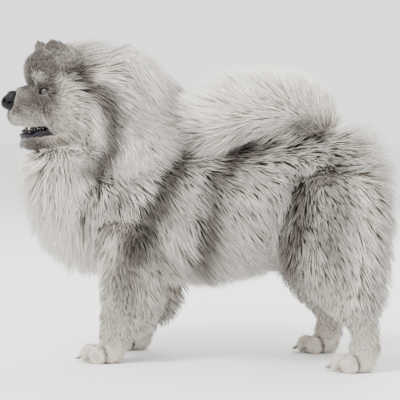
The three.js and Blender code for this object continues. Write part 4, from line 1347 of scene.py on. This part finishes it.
@dataclass
class Coat:
    """The coat: closed, tapered tufts rooted in the skin.

    Attributes:
        skin: The skin that carries it.
        finish: Its finish.
        sink: How deep a root sits in the skin.
        clump: How much tufts draw together towards their tips.
        lock: How many tufts make a lock.
        bareness: Most bareness of the skin under a root.
        lowest: Least height of a root over the floor.
        swirl: How much the lie wanders from place to place.
        stray: How much each tuft strays from the lie.
        slant: Length of a tuft for each unit of depth.
        follow: How closely long hair keeps its depth over the skin.
        mane_depth: How far under the mane's outline the tips may end.
        patch: Half-width and length of a tuft's patch of the unwrap.
    """

    skin: Skin
    finish: FurFinish = FurFinish()
    sink: float = 1.5
    clump: float = 0.42
    lock: int = 18
    bareness: float = 0.35
    lowest: float = 2.5
    swirl: float = 0.22
    stray: float = 0.09
    slant: float = 1.45
    follow: float = 0.75
    mane_depth: float = 24.0
    patch: tuple[float, float] = (0.0012, 0.0028)

    def roots(self, layer: Layer, random: np.random.Generator) -> dict[str, Array]:
        """Scatters roots over a layer's regions.

        Args:
            layer: The layer.
            random: Source of chance.

        Returns:
            Place, outward direction, lie, depth of coat, shade and unwrapped place of each root.
        """
        skin = self.skin
        faces = skin.faces
        corners = skin.vertices[faces]
        area = np.linalg.norm(np.cross(corners[:, 1] - corners[:, 0], corners[:, 2] - corners[:, 0]), axis=1)
        here = np.isin(skin.region[faces], [r.value for r in layer.regions]).mean(axis=1) > 0.5
        open_skin = (skin.bare[faces].max(axis=1) < self.bareness) & (corners[:, :, 2].min(axis=1) > self.lowest)
        crowding = 0.8 if layer.regions[0] is Region.FACE else 0.25
        short = 1 / np.maximum(skin.coat[faces].mean(axis=1), 4.0) ** crowding
        chance = area * here * open_skin * short
        share = chance / chance.sum()
        count = layer.count
        chosen = random.choice(len(faces), count, p=share)
        a, b = random.random((2, count))
        flip = a + b > 1
        a, b = np.where(flip, 1 - a, a), np.where(flip, 1 - b, b)
        weights = np.stack([1 - a - b, a, b], 1)

        def blend(values: Array) -> Array:
            """Values at the roots from those at the corners of their faces."""
            return np.einsum("nk,nk...->n...", weights, values[faces[chosen]])

        return {"at": blend(skin.vertices), "out": unit(blend(skin.outward)), "lie": unit(blend(skin.lie)),
                "coat": blend(skin.coat), "tone": blend(skin.tone),
                "uv": np.einsum("nk,nkc->nc", weights, skin.uv[chosen])}

    def paths(self, layer: Layer, r: dict[str, Array], random: np.random.Generator) -> Array:
        """Lines of the tufts from root to tip, in layer.rings + 1 places each."""
        count = len(r["at"])
        out, at = r["out"], r["at"]
        swirl = np.stack([wander(at, 70, seed) for seed in (21, 22, 23)], 1) * self.swirl
        heading = r["lie"] + swirl + random.normal(0, self.stray, (count, 3))
        flat = heading - out * np.sum(heading * out, axis=1, keepdims=True)
        firm = np.linalg.norm(flat, axis=1, keepdims=True)
        flat = flat / np.maximum(firm, 0.35)
        coat = r["coat"] * random.uniform(0.78, 1.2, count)
        length = (layer.base + self.slant * coat) * random.uniform(0.85, 1.12, count)
        reach = np.sqrt(np.maximum(length**2 - coat**2, 0.2 * length**2))
        follow = self.follow * ramp(coat, 8, 22)
        depth = random.uniform(0, self.mane_depth, count)
        mane = layer.regions[0] in (Region.RUFF, Region.FACE)
        places = [at - out * self.sink]
        for i in range(1, layer.rings + 1):
            s = i / layer.rings
            high = coat * s**0.85
            place = at + flat * (reach * s)[:, None] + out * high[:, None]
            level, slope = self.skin.grid.read(place)
            firmness = np.sum(slope * slope, axis=1).clip(0, 1)
            place = place + slope * ((high - level) * follow * firmness)[:, None]
            if mane:
                line = np.interp(place[:, 0], *MANE_LINE) - 0.003 * (place[:, 1] + 15) ** 2 - depth * s
                place[:, 2] = np.minimum(place[:, 2], line)
            places.append(place)
        return np.stack(places, 1)

    def gather(self, paths: Array, random: np.random.Generator) -> Array:
        """Draws tufts together in locks towards their tips."""
        count = len(paths)
        guides = random.choice(count, max(count // self.lock, 8), replace=False)
        tree = KDTree(len(guides))
        for i, g in enumerate(guides):
            tree.insert(paths[g, 0], i)
        tree.balance()
        nearest = np.array([tree.find(p)[1] for p in paths[:, 0]])
        leads = paths[guides[nearest]]
        strength = self.clump * random.uniform(0.5, 1.1, count)
        s = np.linspace(0, 1, paths.shape[1]) ** 1.6
        return paths + (leads - paths) * (strength[:, None] * s)[:, :, None]

    def blades(self, layer: Layer, paths: Array, out: Array, random: np.random.Generator) -> tuple[Array, Array]:
        """Three-sided tapered blades along lines.

        Args:
            layer: The layer.
            paths: Lines from root to tip.
            out: Outward directions at the roots.
            random: Source of chance.

        Returns:
            Places and triangles.
        """
        count, rings = len(paths), layer.rings
        width = layer.width * random.uniform(0.7, 1.3, count)
        vertices = np.zeros((count, rings * 3 + 1, 3))
        spin = random.uniform(-0.5, 0.5, count)
        for i in range(rings):
            direction = unit(paths[:, i + 1] - paths[:, max(i - 1, 0)])
            side = unit(np.cross(direction, out))
            up = np.cross(side, direction)
            c, s = np.cos(spin)[:, None], np.sin(spin)[:, None]
            side, up = side * c + up * s, up * c - side * s
            taper = (1 - (i / rings) ** 1.5) * (0.75 if i == 0 else 1.0)
            w, t = (width * taper / 2)[:, None], (width * taper * 0.22)[:, None]
            centre = paths[:, i]
            vertices[:, i * 3] = centre + up * t * 1.3
            vertices[:, i * 3 + 1] = centre + side * w - up * t * 0.6
            vertices[:, i * 3 + 2] = centre - side * w - up * t * 0.6
        vertices[:, -1] = paths[:, -1]
        faces = [(0, 2, 1)]
        for i in range(rings - 1):
            a, b = i * 3, i * 3 + 3
            for k in range(3):
                n = (k + 1) % 3
                faces += [(a + k, a + n, b + n), (a + k, b + n, b + k)]
        last = (rings - 1) * 3
        faces += [(last + k, last + (k + 1) % 3, rings * 3) for k in range(3)]
        pattern = np.array(faces)
        whole = pattern[None] + (np.arange(count) * (rings * 3 + 1))[:, None, None]
        return vertices.reshape(-1, 3), whole.reshape(-1, 3)

    def build_layer(self, layer: Layer, material: bpy.types.Material) -> None:
        """Builds one piece of the coat, short hair shaded as at its root and long hair as at its middle."""
        random = np.random.default_rng(layer.seed)
        r = self.roots(layer, random)
        paths = self.gather(self.paths(layer, r, random), random)
        numbers = np.full(len(paths), layer.regions[0].value)
        long = ramp(r["coat"], 12, 28)
        shown = r["tone"] * (1 - long) + tone_of(paths[:, (layer.rings + 1) // 2], numbers) * long
        vertices, faces = self.blades(layer, paths, r["out"], random)
        vertices[:, 2] = np.maximum(vertices[:, 2], HAIR_FLOOR)
        piece = new_piece(layer.name, vertices, faces, material)
        per = layer.rings * 3 + 1
        count = len(paths)
        ring = np.append(np.repeat(np.arange(layer.rings), 3), layer.rings) / layer.rings
        keep(piece, "along", np.tile(ring, count))
        keep(piece, "tone", np.repeat(shown, per))
        keep(piece, "chance", np.repeat(random.random(count), per))
        across = np.append(np.tile([0.0, 1.0, -1.0], layer.rings), 0.0)
        spread = np.stack([across * self.patch[0], (ring - 0.5) * self.patch[1]], 1)
        uv = (np.repeat(r["uv"], per, axis=0) + np.tile(spread, (count, 1))).clip(0, 1)
        unwrap = piece.data.uv_layers.new(name="OFBake")
        unwrap.data.foreach_set("uv", uv[faces.ravel()].astype(np.float32).ravel())
        dress(piece, layer.slot)

    def build(self) -> None:
        """Builds every layer."""
        material = self.finish.build()
        for layer in LAYERS:
            self.build_layer(layer, material)


@dataclass
class Eyes:
    """Eyes with their lid rims.

    Attributes:
        radius: Radius of an eyeball.
        cornea: Angle from its middle to the edge of the cornea, in radians.
        bulge: How much the cornea stands out, as a share of the radius.
        opening: Half-width and half-height of the rims.
        rim_radius: Half-thickness of a rim.
        rim_depth: Distance of the rims from the middle of the eye.
        turns: Sections round a rim.
        sides: Sides of a rim's section.
        finish: Finish of the eyeballs.
        rim_finish: Finish of the rims.
    """

    radius: float = EYE_RADIUS
    cornea: float = 0.62
    bulge: float = 0.05
    opening: tuple[float, float] = (11.4, 4.9)
    rim_radius: float = 1.15
    rim_depth: float = 13.0
    turns: int = 56
    sides: int = 8
    finish: EyeFinish = EyeFinish()
    rim_finish: LeatherFinish = LeatherFinish("lid rim", (0.012, 0.01, 0.012), 0.25, 900.0, 0.0001)

    def ball(self, name: str, sign: float, material: bpy.types.Material) -> None:
        """Builds one eyeball with a raised cornea."""
        mesh = bmesh.new()
        bmesh.ops.create_uvsphere(mesh, u_segments=48, v_segments=32, radius=self.radius)
        bmesh.ops.triangulate(mesh, faces=mesh.faces[:])
        places = np.array([v.co[:] for v in mesh.verts])
        faces = np.array([[v.index for v in f.verts] for f in mesh.faces])
        mesh.free()
        aim = unit(np.array([-0.82, 0.56 * sign, 0.0]))
        side = unit(np.cross([0, 0, 1], aim))
        up = np.cross(aim, side)
        axes = np.stack([side, up, aim])
        tilt = unit(places)
        spread = np.arccos(np.clip(tilt[:, 2], -1, 1)) / self.cornea
        bulge = 1 + self.bulge * (1 - ramp(spread, 0.5, 1.0))
        vertices = from_head((places * bulge[:, None]) @ axes + EYE * [1, sign, 1])
        piece = new_piece(name, vertices, faces, material)
        keep(piece, "spread", spread)
        keep(piece, "angle", np.arctan2(tilt[:, 1], tilt[:, 0]))
        dress(piece, "eye", name.replace("eyeball", "eye"))

    def rims(self, material: bpy.types.Material) -> None:
        """Builds the dark, moist rims of the lids of both eyes."""
        turns = np.linspace(0, 2 * np.pi, self.turns, endpoint=False)
        angles = np.linspace(0, 2 * np.pi, self.sides, endpoint=False)
        u = self.opening[0] * np.cos(turns)
        v = self.opening[1] * np.sign(np.sin(turns)) * np.abs(np.sin(turns)) ** 1.15
        depth = np.sqrt(np.maximum(self.rim_depth**2 - u**2 - v**2, 16.0))
        i, j = np.meshgrid(np.arange(self.turns), np.arange(self.sides), indexing="ij")
        corners = ((0, 0), (1, 0), (1, 1), (0, 1))
        quads = [(i + a) % self.turns * self.sides + (j + b) % self.sides for a, b in corners]
        quads = np.stack(quads, -1).reshape(-1, 4)
        parts, faces = [], []
        for side, sign in enumerate((-1, 1)):
            aim, along = lid_axes(sign)
            high = unit(np.cross(aim, along))
            high *= np.sign(high[2])
            line = EYE * [1, sign, 1] + u[:, None] * along + v[:, None] * high + depth[:, None] * aim
            forward = unit(np.roll(line, -1, 0) - np.roll(line, 1, 0))
            out = unit(line - EYE * [1, sign, 1])
            wide = unit(np.cross(forward, out))
            section = np.cos(angles)[:, None] * wide[:, None] + 0.8 * np.sin(angles)[:, None] * out[:, None]
            ring = line[:, None] + self.rim_radius * section
            parts.append(from_head(ring.reshape(-1, 3)))
            faces.append(quads + side * self.turns * self.sides)
        piece = new_piece("lid_rims", np.vstack(parts), triangles(np.vstack(faces)), material)
        face_out(piece)
        dress(piece, "nose_leather")

    def build(self) -> None:
        """Builds both eyes."""
        material = self.finish.build()
        for name, sign in SIDES.items():
            self.ball(f"eyeball_{name}", sign, material)
        self.rims(self.rim_finish.build())


def face_out(piece: bpy.types.Object) -> None:
    """Turns the faces of closed shells outwards."""
    mesh = bmesh.new()
    mesh.from_mesh(piece.data)
    bmesh.ops.recalc_face_normals(mesh, faces=mesh.faces[:])
    mesh.to_mesh(piece.data)
    mesh.free()


@dataclass
class Muzzle:
    """Nose leather, tongue, gums and teeth.

    Attributes:
        flesh: The field that carries the nose.
        teeth: How many places the lower arch is divided into, with a tooth at each but the last.
        canines: The places of the canines.
        leather: Finish of the nose.
        tongue_finish: Finish of the tongue.
        gum_finish: Finish of the gums.
        enamel: Finish of the teeth.
    """

    flesh: Flesh
    teeth: int = 20
    canines: tuple[int, int] = (6, 14)
    leather: LeatherFinish = LeatherFinish("nose leather", (0.004, 0.0038, 0.004), 0.42, 520.0, 0.0004)
    tongue_finish: LeatherFinish = LeatherFinish("blue-black tongue", (0.018, 0.018, 0.034), 0.28, 900.0)
    gum_finish: LeatherFinish = LeatherFinish("dark gum", (0.014, 0.012, 0.016), 0.25, 500.0, 0.0002)
    enamel: HornFinish = HornFinish("enamel", (0.86, 0.81, 0.68), (0.74, 0.66, 0.5), 0.2)

    def nose_value(self, local: Array) -> Array:
        """Field of the nose leather in the head's frame."""
        value = self.flesh.nose.measure(local)[0]
        for sign in (-1, 1):
            hole = Ball(centre=(-83, 9.5 * sign, -21), radii=(8, 3.6, 4.4), turn=(0, 0.2, -0.5 * sign))
            slit = Ball(centre=(-75, 16.5 * sign, -24.5), radii=(8, 4.5, 1.5),
                        turn=(0.3 * sign, 0, -0.5 * sign))
            for cut in (hole, slit):
                value = np.logaddexp(value, -cut.measure(local)[0])
        groove = np.hypot(local[:, 1] / 1.1, np.maximum(local[:, 0] + 84, 0) / 6) - 1.3
        groove = np.where(local[:, 2] < -16, groove, 9.0)
        return np.logaddexp(value / 0.8, -groove / 0.8) * 0.8

    def tongue_value(self, local: Array) -> Array:
        """Field of the tongue in the head's frame, with a shallow groove along its middle."""
        body = Sweep(stations=TONGUE, domes=(0.25, 0.15))
        groove = spot(local[:, 1], 3.0) * (local[:, 2] > -72)
        return body.measure(local)[0] + 1.1 * groove

    def build(self) -> None:
        """Builds the pieces of the muzzle."""
        cell = 0.9
        vertices, faces = surface(self.nose_value, (-92, -30, -46), (-50, 30, 8), cell)
        nose = new_piece("nose_leather", from_head(vertices), faces, self.leather.build())
        dress(nose, "nose_leather", "nose")
        vertices, faces = surface(self.tongue_value, (-50, -24, -82), (32, 24, -58), 1.3)
        tongue = new_piece("tongue_pad", from_head(vertices), faces, self.tongue_finish.build())
        dress(tongue, "tongue", "tongue")
        gum = Sweep(stations=rim(TOOTH_ARCH, GUM_RADIUS), side=(0, 0, 1), domes=(0.04, 0.04))
        vertices, faces = surface(lambda p: gum.measure(p)[0], (-62, -33, -84), (-2, 33, -68), 1.0)
        dress(new_piece("gums", from_head(vertices), faces, self.gum_finish.build()), "tongue")
        line = Sweep.along(np.array(rim(TOOTH_ARCH, 1.0), float), np.linspace(0, 1, 200))[:, :3]
        run = np.append(0, np.cumsum(np.linalg.norm(np.diff(line, axis=0), axis=1)))
        places = []
        for i in range(1, self.teeth):
            at = np.array([np.interp(run[-1] * i / self.teeth, run, line[:, n]) for n in range(3)])
            length, radius = (9.5, 2.3) if i in self.canines else (2.4, 1.6)
            places.append((from_head(at), np.array([0.0, 0, 1]), length, radius))
        dress(Spikes("teeth", places, 0.1, self.enamel.build()).build(), "tooth", "teeth_lower")


@dataclass
class Spikes:
    """Tapered, bent spikes set on points: teeth, claws and whiskers.

    Attributes:
        name: Name of the piece.
        places: Root, direction, length and radius of each.
        bend: How far the middle is pulled aside, as a share of four radii.
        material: Their material.
        sides: Sides of a spike's section.
    """

    name: str
    places: list[tuple[Array, Array, float, float]]
    bend: float
    material: bpy.types.Material
    sides: int = 8

    def tree(self) -> bpy.types.NodeTree:
        """Node tree that sets a spike on each point, with its bend, sides and material as named inputs."""
        tree = bpy.data.node_groups.new(f"{self.name} spikes", "GeometryNodeTree")
        face = tree.interface
        face.new_socket("Geometry", in_out="INPUT", socket_type="NodeSocketGeometry")
        face.new_socket("Bend", in_out="INPUT", socket_type="NodeSocketFloat")
        face.new_socket("Sides", in_out="INPUT", socket_type="NodeSocketInt")
        face.new_socket("Finish", in_out="INPUT", socket_type="NodeSocketMaterial")
        face.new_socket("Geometry", in_out="OUTPUT", socket_type="NodeSocketGeometry")

        def add(kind: str, inputs: dict, **settings: object) -> bpy.types.Node:
            """Adds a node with its inputs joined or set."""
            node = tree.nodes.new(kind)
            for key, value in settings.items():
                setattr(node, key, value)
            for key, value in inputs.items():
                if isinstance(value, bpy.types.NodeSocket):
                    tree.links.new(value, node.inputs[key])
                else:
                    node.inputs[key].default_value = value
            return node

        given = tree.nodes.new("NodeGroupInput")
        middle = add("ShaderNodeCombineXYZ", {0: given.outputs["Bend"], 2: 0.5})
        curve = add("GeometryNodeCurveQuadraticBezier",
                    {"Resolution": 8, "Start": (0, 0, 0), "Middle": middle.outputs[0], "End": (0, 0, 1)})
        ring = add("GeometryNodeCurvePrimitiveCircle", {"Resolution": given.outputs["Sides"], "Radius": 1.0})
        along = tree.nodes.new("GeometryNodeSplineParameter")
        left = add("ShaderNodeMath", {0: 1.0, 1: along.outputs["Factor"]}, operation="SUBTRACT")
        taper = add("ShaderNodeMath", {0: left.outputs[0], 1: 0.65}, operation="POWER")
        thin = add("ShaderNodeMath", {0: taper.outputs[0], 1: 0.02}, operation="ADD")
        shaped = add("GeometryNodeSetCurveRadius", {"Curve": curve.outputs[0], "Radius": thin.outputs[0]})
        solid = add("GeometryNodeCurveToMesh", {"Curve": shaped.outputs[0], "Profile Curve": ring.outputs[0],
                                                "Fill Caps": True})
        smooth = add("GeometryNodeSetShadeSmooth", {"Geometry": solid.outputs[0]})
        aim = add("GeometryNodeInputNamedAttribute", {"Name": "aim"}, data_type="FLOAT_VECTOR")
        size = add("GeometryNodeInputNamedAttribute", {"Name": "size"}, data_type="FLOAT_VECTOR")
        turn = add("FunctionNodeAlignRotationToVector", {"Vector": aim.outputs[0]}, axis="Z")
        placed = add("GeometryNodeInstanceOnPoints",
                     {"Points": given.outputs["Geometry"], "Instance": smooth.outputs[0],
                      "Rotation": turn.outputs[0], "Scale": size.outputs[0]})
        real = add("GeometryNodeRealizeInstances", {"Geometry": placed.outputs[0]})
        painted = add("GeometryNodeSetMaterial",
                      {"Geometry": real.outputs[0], "Material": given.outputs["Finish"]})
        out = tree.nodes.new("NodeGroupOutput")
        tree.links.new(painted.outputs[0], out.inputs[0])
        return tree

    def build(self) -> bpy.types.Object:
        """Builds the spikes as one plain mesh."""
        base = bpy.data.meshes.new(f"{self.name} points")
        base.from_pydata([tuple((p + SHIFT) * MM) for p, *_ in self.places], [], [])
        for name, rows in (("aim", [unit(np.asarray(d, float)) for _, d, _, _ in self.places]),
                           ("size", [np.array([r, r, length]) * MM for _, _, length, r in self.places])):
            layer = base.attributes.new(name, "FLOAT_VECTOR", "POINT")
            layer.data.foreach_set("vector", np.array(rows, np.float32).ravel())
        holder = bpy.data.objects.new(f"{self.name} points", base)
        bpy.context.scene.collection.objects.link(holder)
        tree = self.tree()
        modifier = holder.modifiers.new("spikes", "NODES")
        modifier.node_group = tree
        wanted = {"Bend": self.bend * 4, "Sides": self.sides, "Finish": self.material}
        for item in tree.interface.items_tree:
            if item.in_out == "INPUT" and item.name in wanted:
                modifier[item.identifier] = wanted[item.name]
        seen = holder.evaluated_get(bpy.context.evaluated_depsgraph_get())
        mesh = bpy.data.meshes.new_from_object(seen)
        holder.modifiers.remove(modifier)
        bpy.data.objects.remove(holder)
        for layer in ("aim", "size"):
            if layer in mesh.attributes:
                mesh.attributes.remove(mesh.attributes[layer])
        mesh.name = self.name
        piece = bpy.data.objects.new(self.name, mesh)
        bpy.context.scene.collection.objects.link(piece)
        return piece


@dataclass
class Trimmings:
    """Claws and whiskers.

    Attributes:
        claw: Length and radius of a claw.
        rows: Rows of whiskers on each side, and whiskers in a row.
        horn: Finish of the claws.
        hair: Finish of the whiskers.
    """

    claw: tuple[float, float] = (10.0, 3.0)
    rows: tuple[int, int] = (3, 4)
    horn: HornFinish = HornFinish("claw horn", (0.1, 0.08, 0.065), (0.28, 0.23, 0.18), 0.3)
    hair: HornFinish = HornFinish("whisker", (0.06, 0.05, 0.045), (0.3, 0.27, 0.23), 0.4)

    def claws(self) -> None:
        """Builds sixteen claws, one at each toe."""
        places = []
        for foot in FEET:
            for x, y, _ in foot.toe_places():
                tip = np.array([x - foot.width * foot.toe_reach + 3.0, y, foot.height * 0.25])
                places.append((tip, np.array([-0.85, 0, -0.52]), *self.claw))
        dress(Spikes("claws", places, 0.05, self.horn.build()).build(), "foot_coat")

    def whiskers(self) -> None:
        """Builds the whiskers of the muzzle."""
        random = np.random.default_rng(31)
        places = []
        for sign in (-1, 1):
            for row in range(self.rows[0]):
                for i in range(self.rows[1]):
                    at = np.array([-58 + i * 11, (31 + i * 2.2) * sign, -36 - row * 8.0])
                    aim = np.array([0.1 + 0.25 * i, 1.0 * sign, -0.25 - 0.2 * row])
                    aim = aim + random.normal(0, 0.08, 3)
                    places.append((from_head(at), HEAD_ROTATION @ aim, 30 + 14 * random.random(), 0.28))
        dress(Spikes("whiskers", places, 0.05, self.hair.build(), 5).build(), "face_coat")

    def build(self) -> None:
        """Builds the claws and the whiskers."""
        self.claws()
        self.whiskers()


@dataclass
class Studio:
    """Pale ground, soft light and the camera.

    Attributes:
        ground: Finish of the ground.
        turn: How far the camera stands round from the dog's left side.
        distance: Its distance over the ground.
        height: Its height.
        aim: The place that it looks at.
        scale: Millimetres to a pixel there.
        picture: Width of the picture in pixels.
        sensor: Width of the camera's sensor.
        sky: Brightness of the light from all round.
        lamps: Name, place, size and power of each lamp.
    """

    ground: PaperFinish = PaperFinish()
    turn: float = math.radians(10)
    distance: float = 3200.0
    height: float = 500.0
    aim: tuple[float, float, float] = (0.0, 0.0, 302.1)
    scale: float = 1.9
    picture: int = 400
    sensor: float = 36.0
    sky: float = 1.95
    lamps: tuple[tuple[str, tuple[float, float, float], float, float], ...] = (
        ("key", (-1.3, -1.9, 3.0), 1.3, 210), ("fill", (2.6, -2.4, 1.4), 2.4, 40),
        ("rim", (0.6, 2.6, 2.4), 2.0, 110))

    def camera(self) -> None:
        """Places the camera at the drawing's angle."""
        across, back = self.distance * math.sin(self.turn), -self.distance * math.cos(self.turn)
        eye = np.array([across, back, self.height])
        aim = np.array(self.aim)
        data = bpy.data.cameras.new("camera")
        data.sensor_width = self.sensor
        data.lens = self.sensor * np.linalg.norm(aim - eye) / self.scale / self.picture
        data.clip_end = 60
        camera = bpy.data.objects.new("camera", data)
        camera.location = Vector((eye + SHIFT * [1, 1, 0]) * MM)
        camera.rotation_euler = Vector(aim - eye).to_track_quat("-Z", "Y").to_euler()
        bpy.context.scene.collection.objects.link(camera)
        bpy.context.scene.camera = camera

    def light(self, name: str, place: tuple[float, float, float], size: float, power: float) -> None:
        """Hangs one soft light that shines on the dog."""
        data = bpy.data.lights.new(name, "AREA")
        data.size, data.energy = size, power
        lamp = bpy.data.objects.new(name, data)
        lamp.location = place
        lamp.rotation_euler = (Vector((0, 0, 0.3)) - Vector(place)).to_track_quat("-Z", "Y").to_euler()
        bpy.context.scene.collection.objects.link(lamp)

    def build(self) -> None:
        """Builds the ground, the lights and the camera."""
        mesh = bmesh.new()
        bmesh.ops.create_grid(mesh, x_segments=2, y_segments=2, size=14)
        data = bpy.data.meshes.new("ground")
        mesh.to_mesh(data)
        mesh.free()
        data.materials.append(self.ground.build())
        floor = bpy.data.objects.new("ground", data)
        bpy.context.scene.collection.objects.link(floor)
        world = bpy.data.worlds.new("soft sky")
        world.use_nodes = True
        world.node_tree.nodes["Background"].inputs[0].default_value = (1, 1, 1, 1)
        world.node_tree.nodes["Background"].inputs[1].default_value = self.sky
        bpy.context.scene.world = world
        for lamp in self.lamps:
            self.light(*lamp)
        self.camera()


FLESH_NODES = ("head", "jaw", "ear_left", "ear_right", "neck", "chest", "torso", "tail_root", "tail_plume")
LIMBS = ("paw_fore", "paw_hind", "leg_fore", "thigh", "shank")
LIMB_NODES = tuple(f"{limb}_{side}" for side in SIDES for limb in LIMBS)


def main() -> None:
    """Builds the dog and its studio."""
    logging.basicConfig(level=logging.INFO, format="%(relativeCreated)d ms %(message)s")
    flesh = Flesh()
    Studio().build()
    skin = Skin(flesh, nodes=FLESH_NODES + LIMB_NODES)
    skin.build()
    Coat(skin).build()
    Eyes().build()
    Muzzle(flesh).build()
    Trimmings().build()


if __name__ == "__main__":
    main()
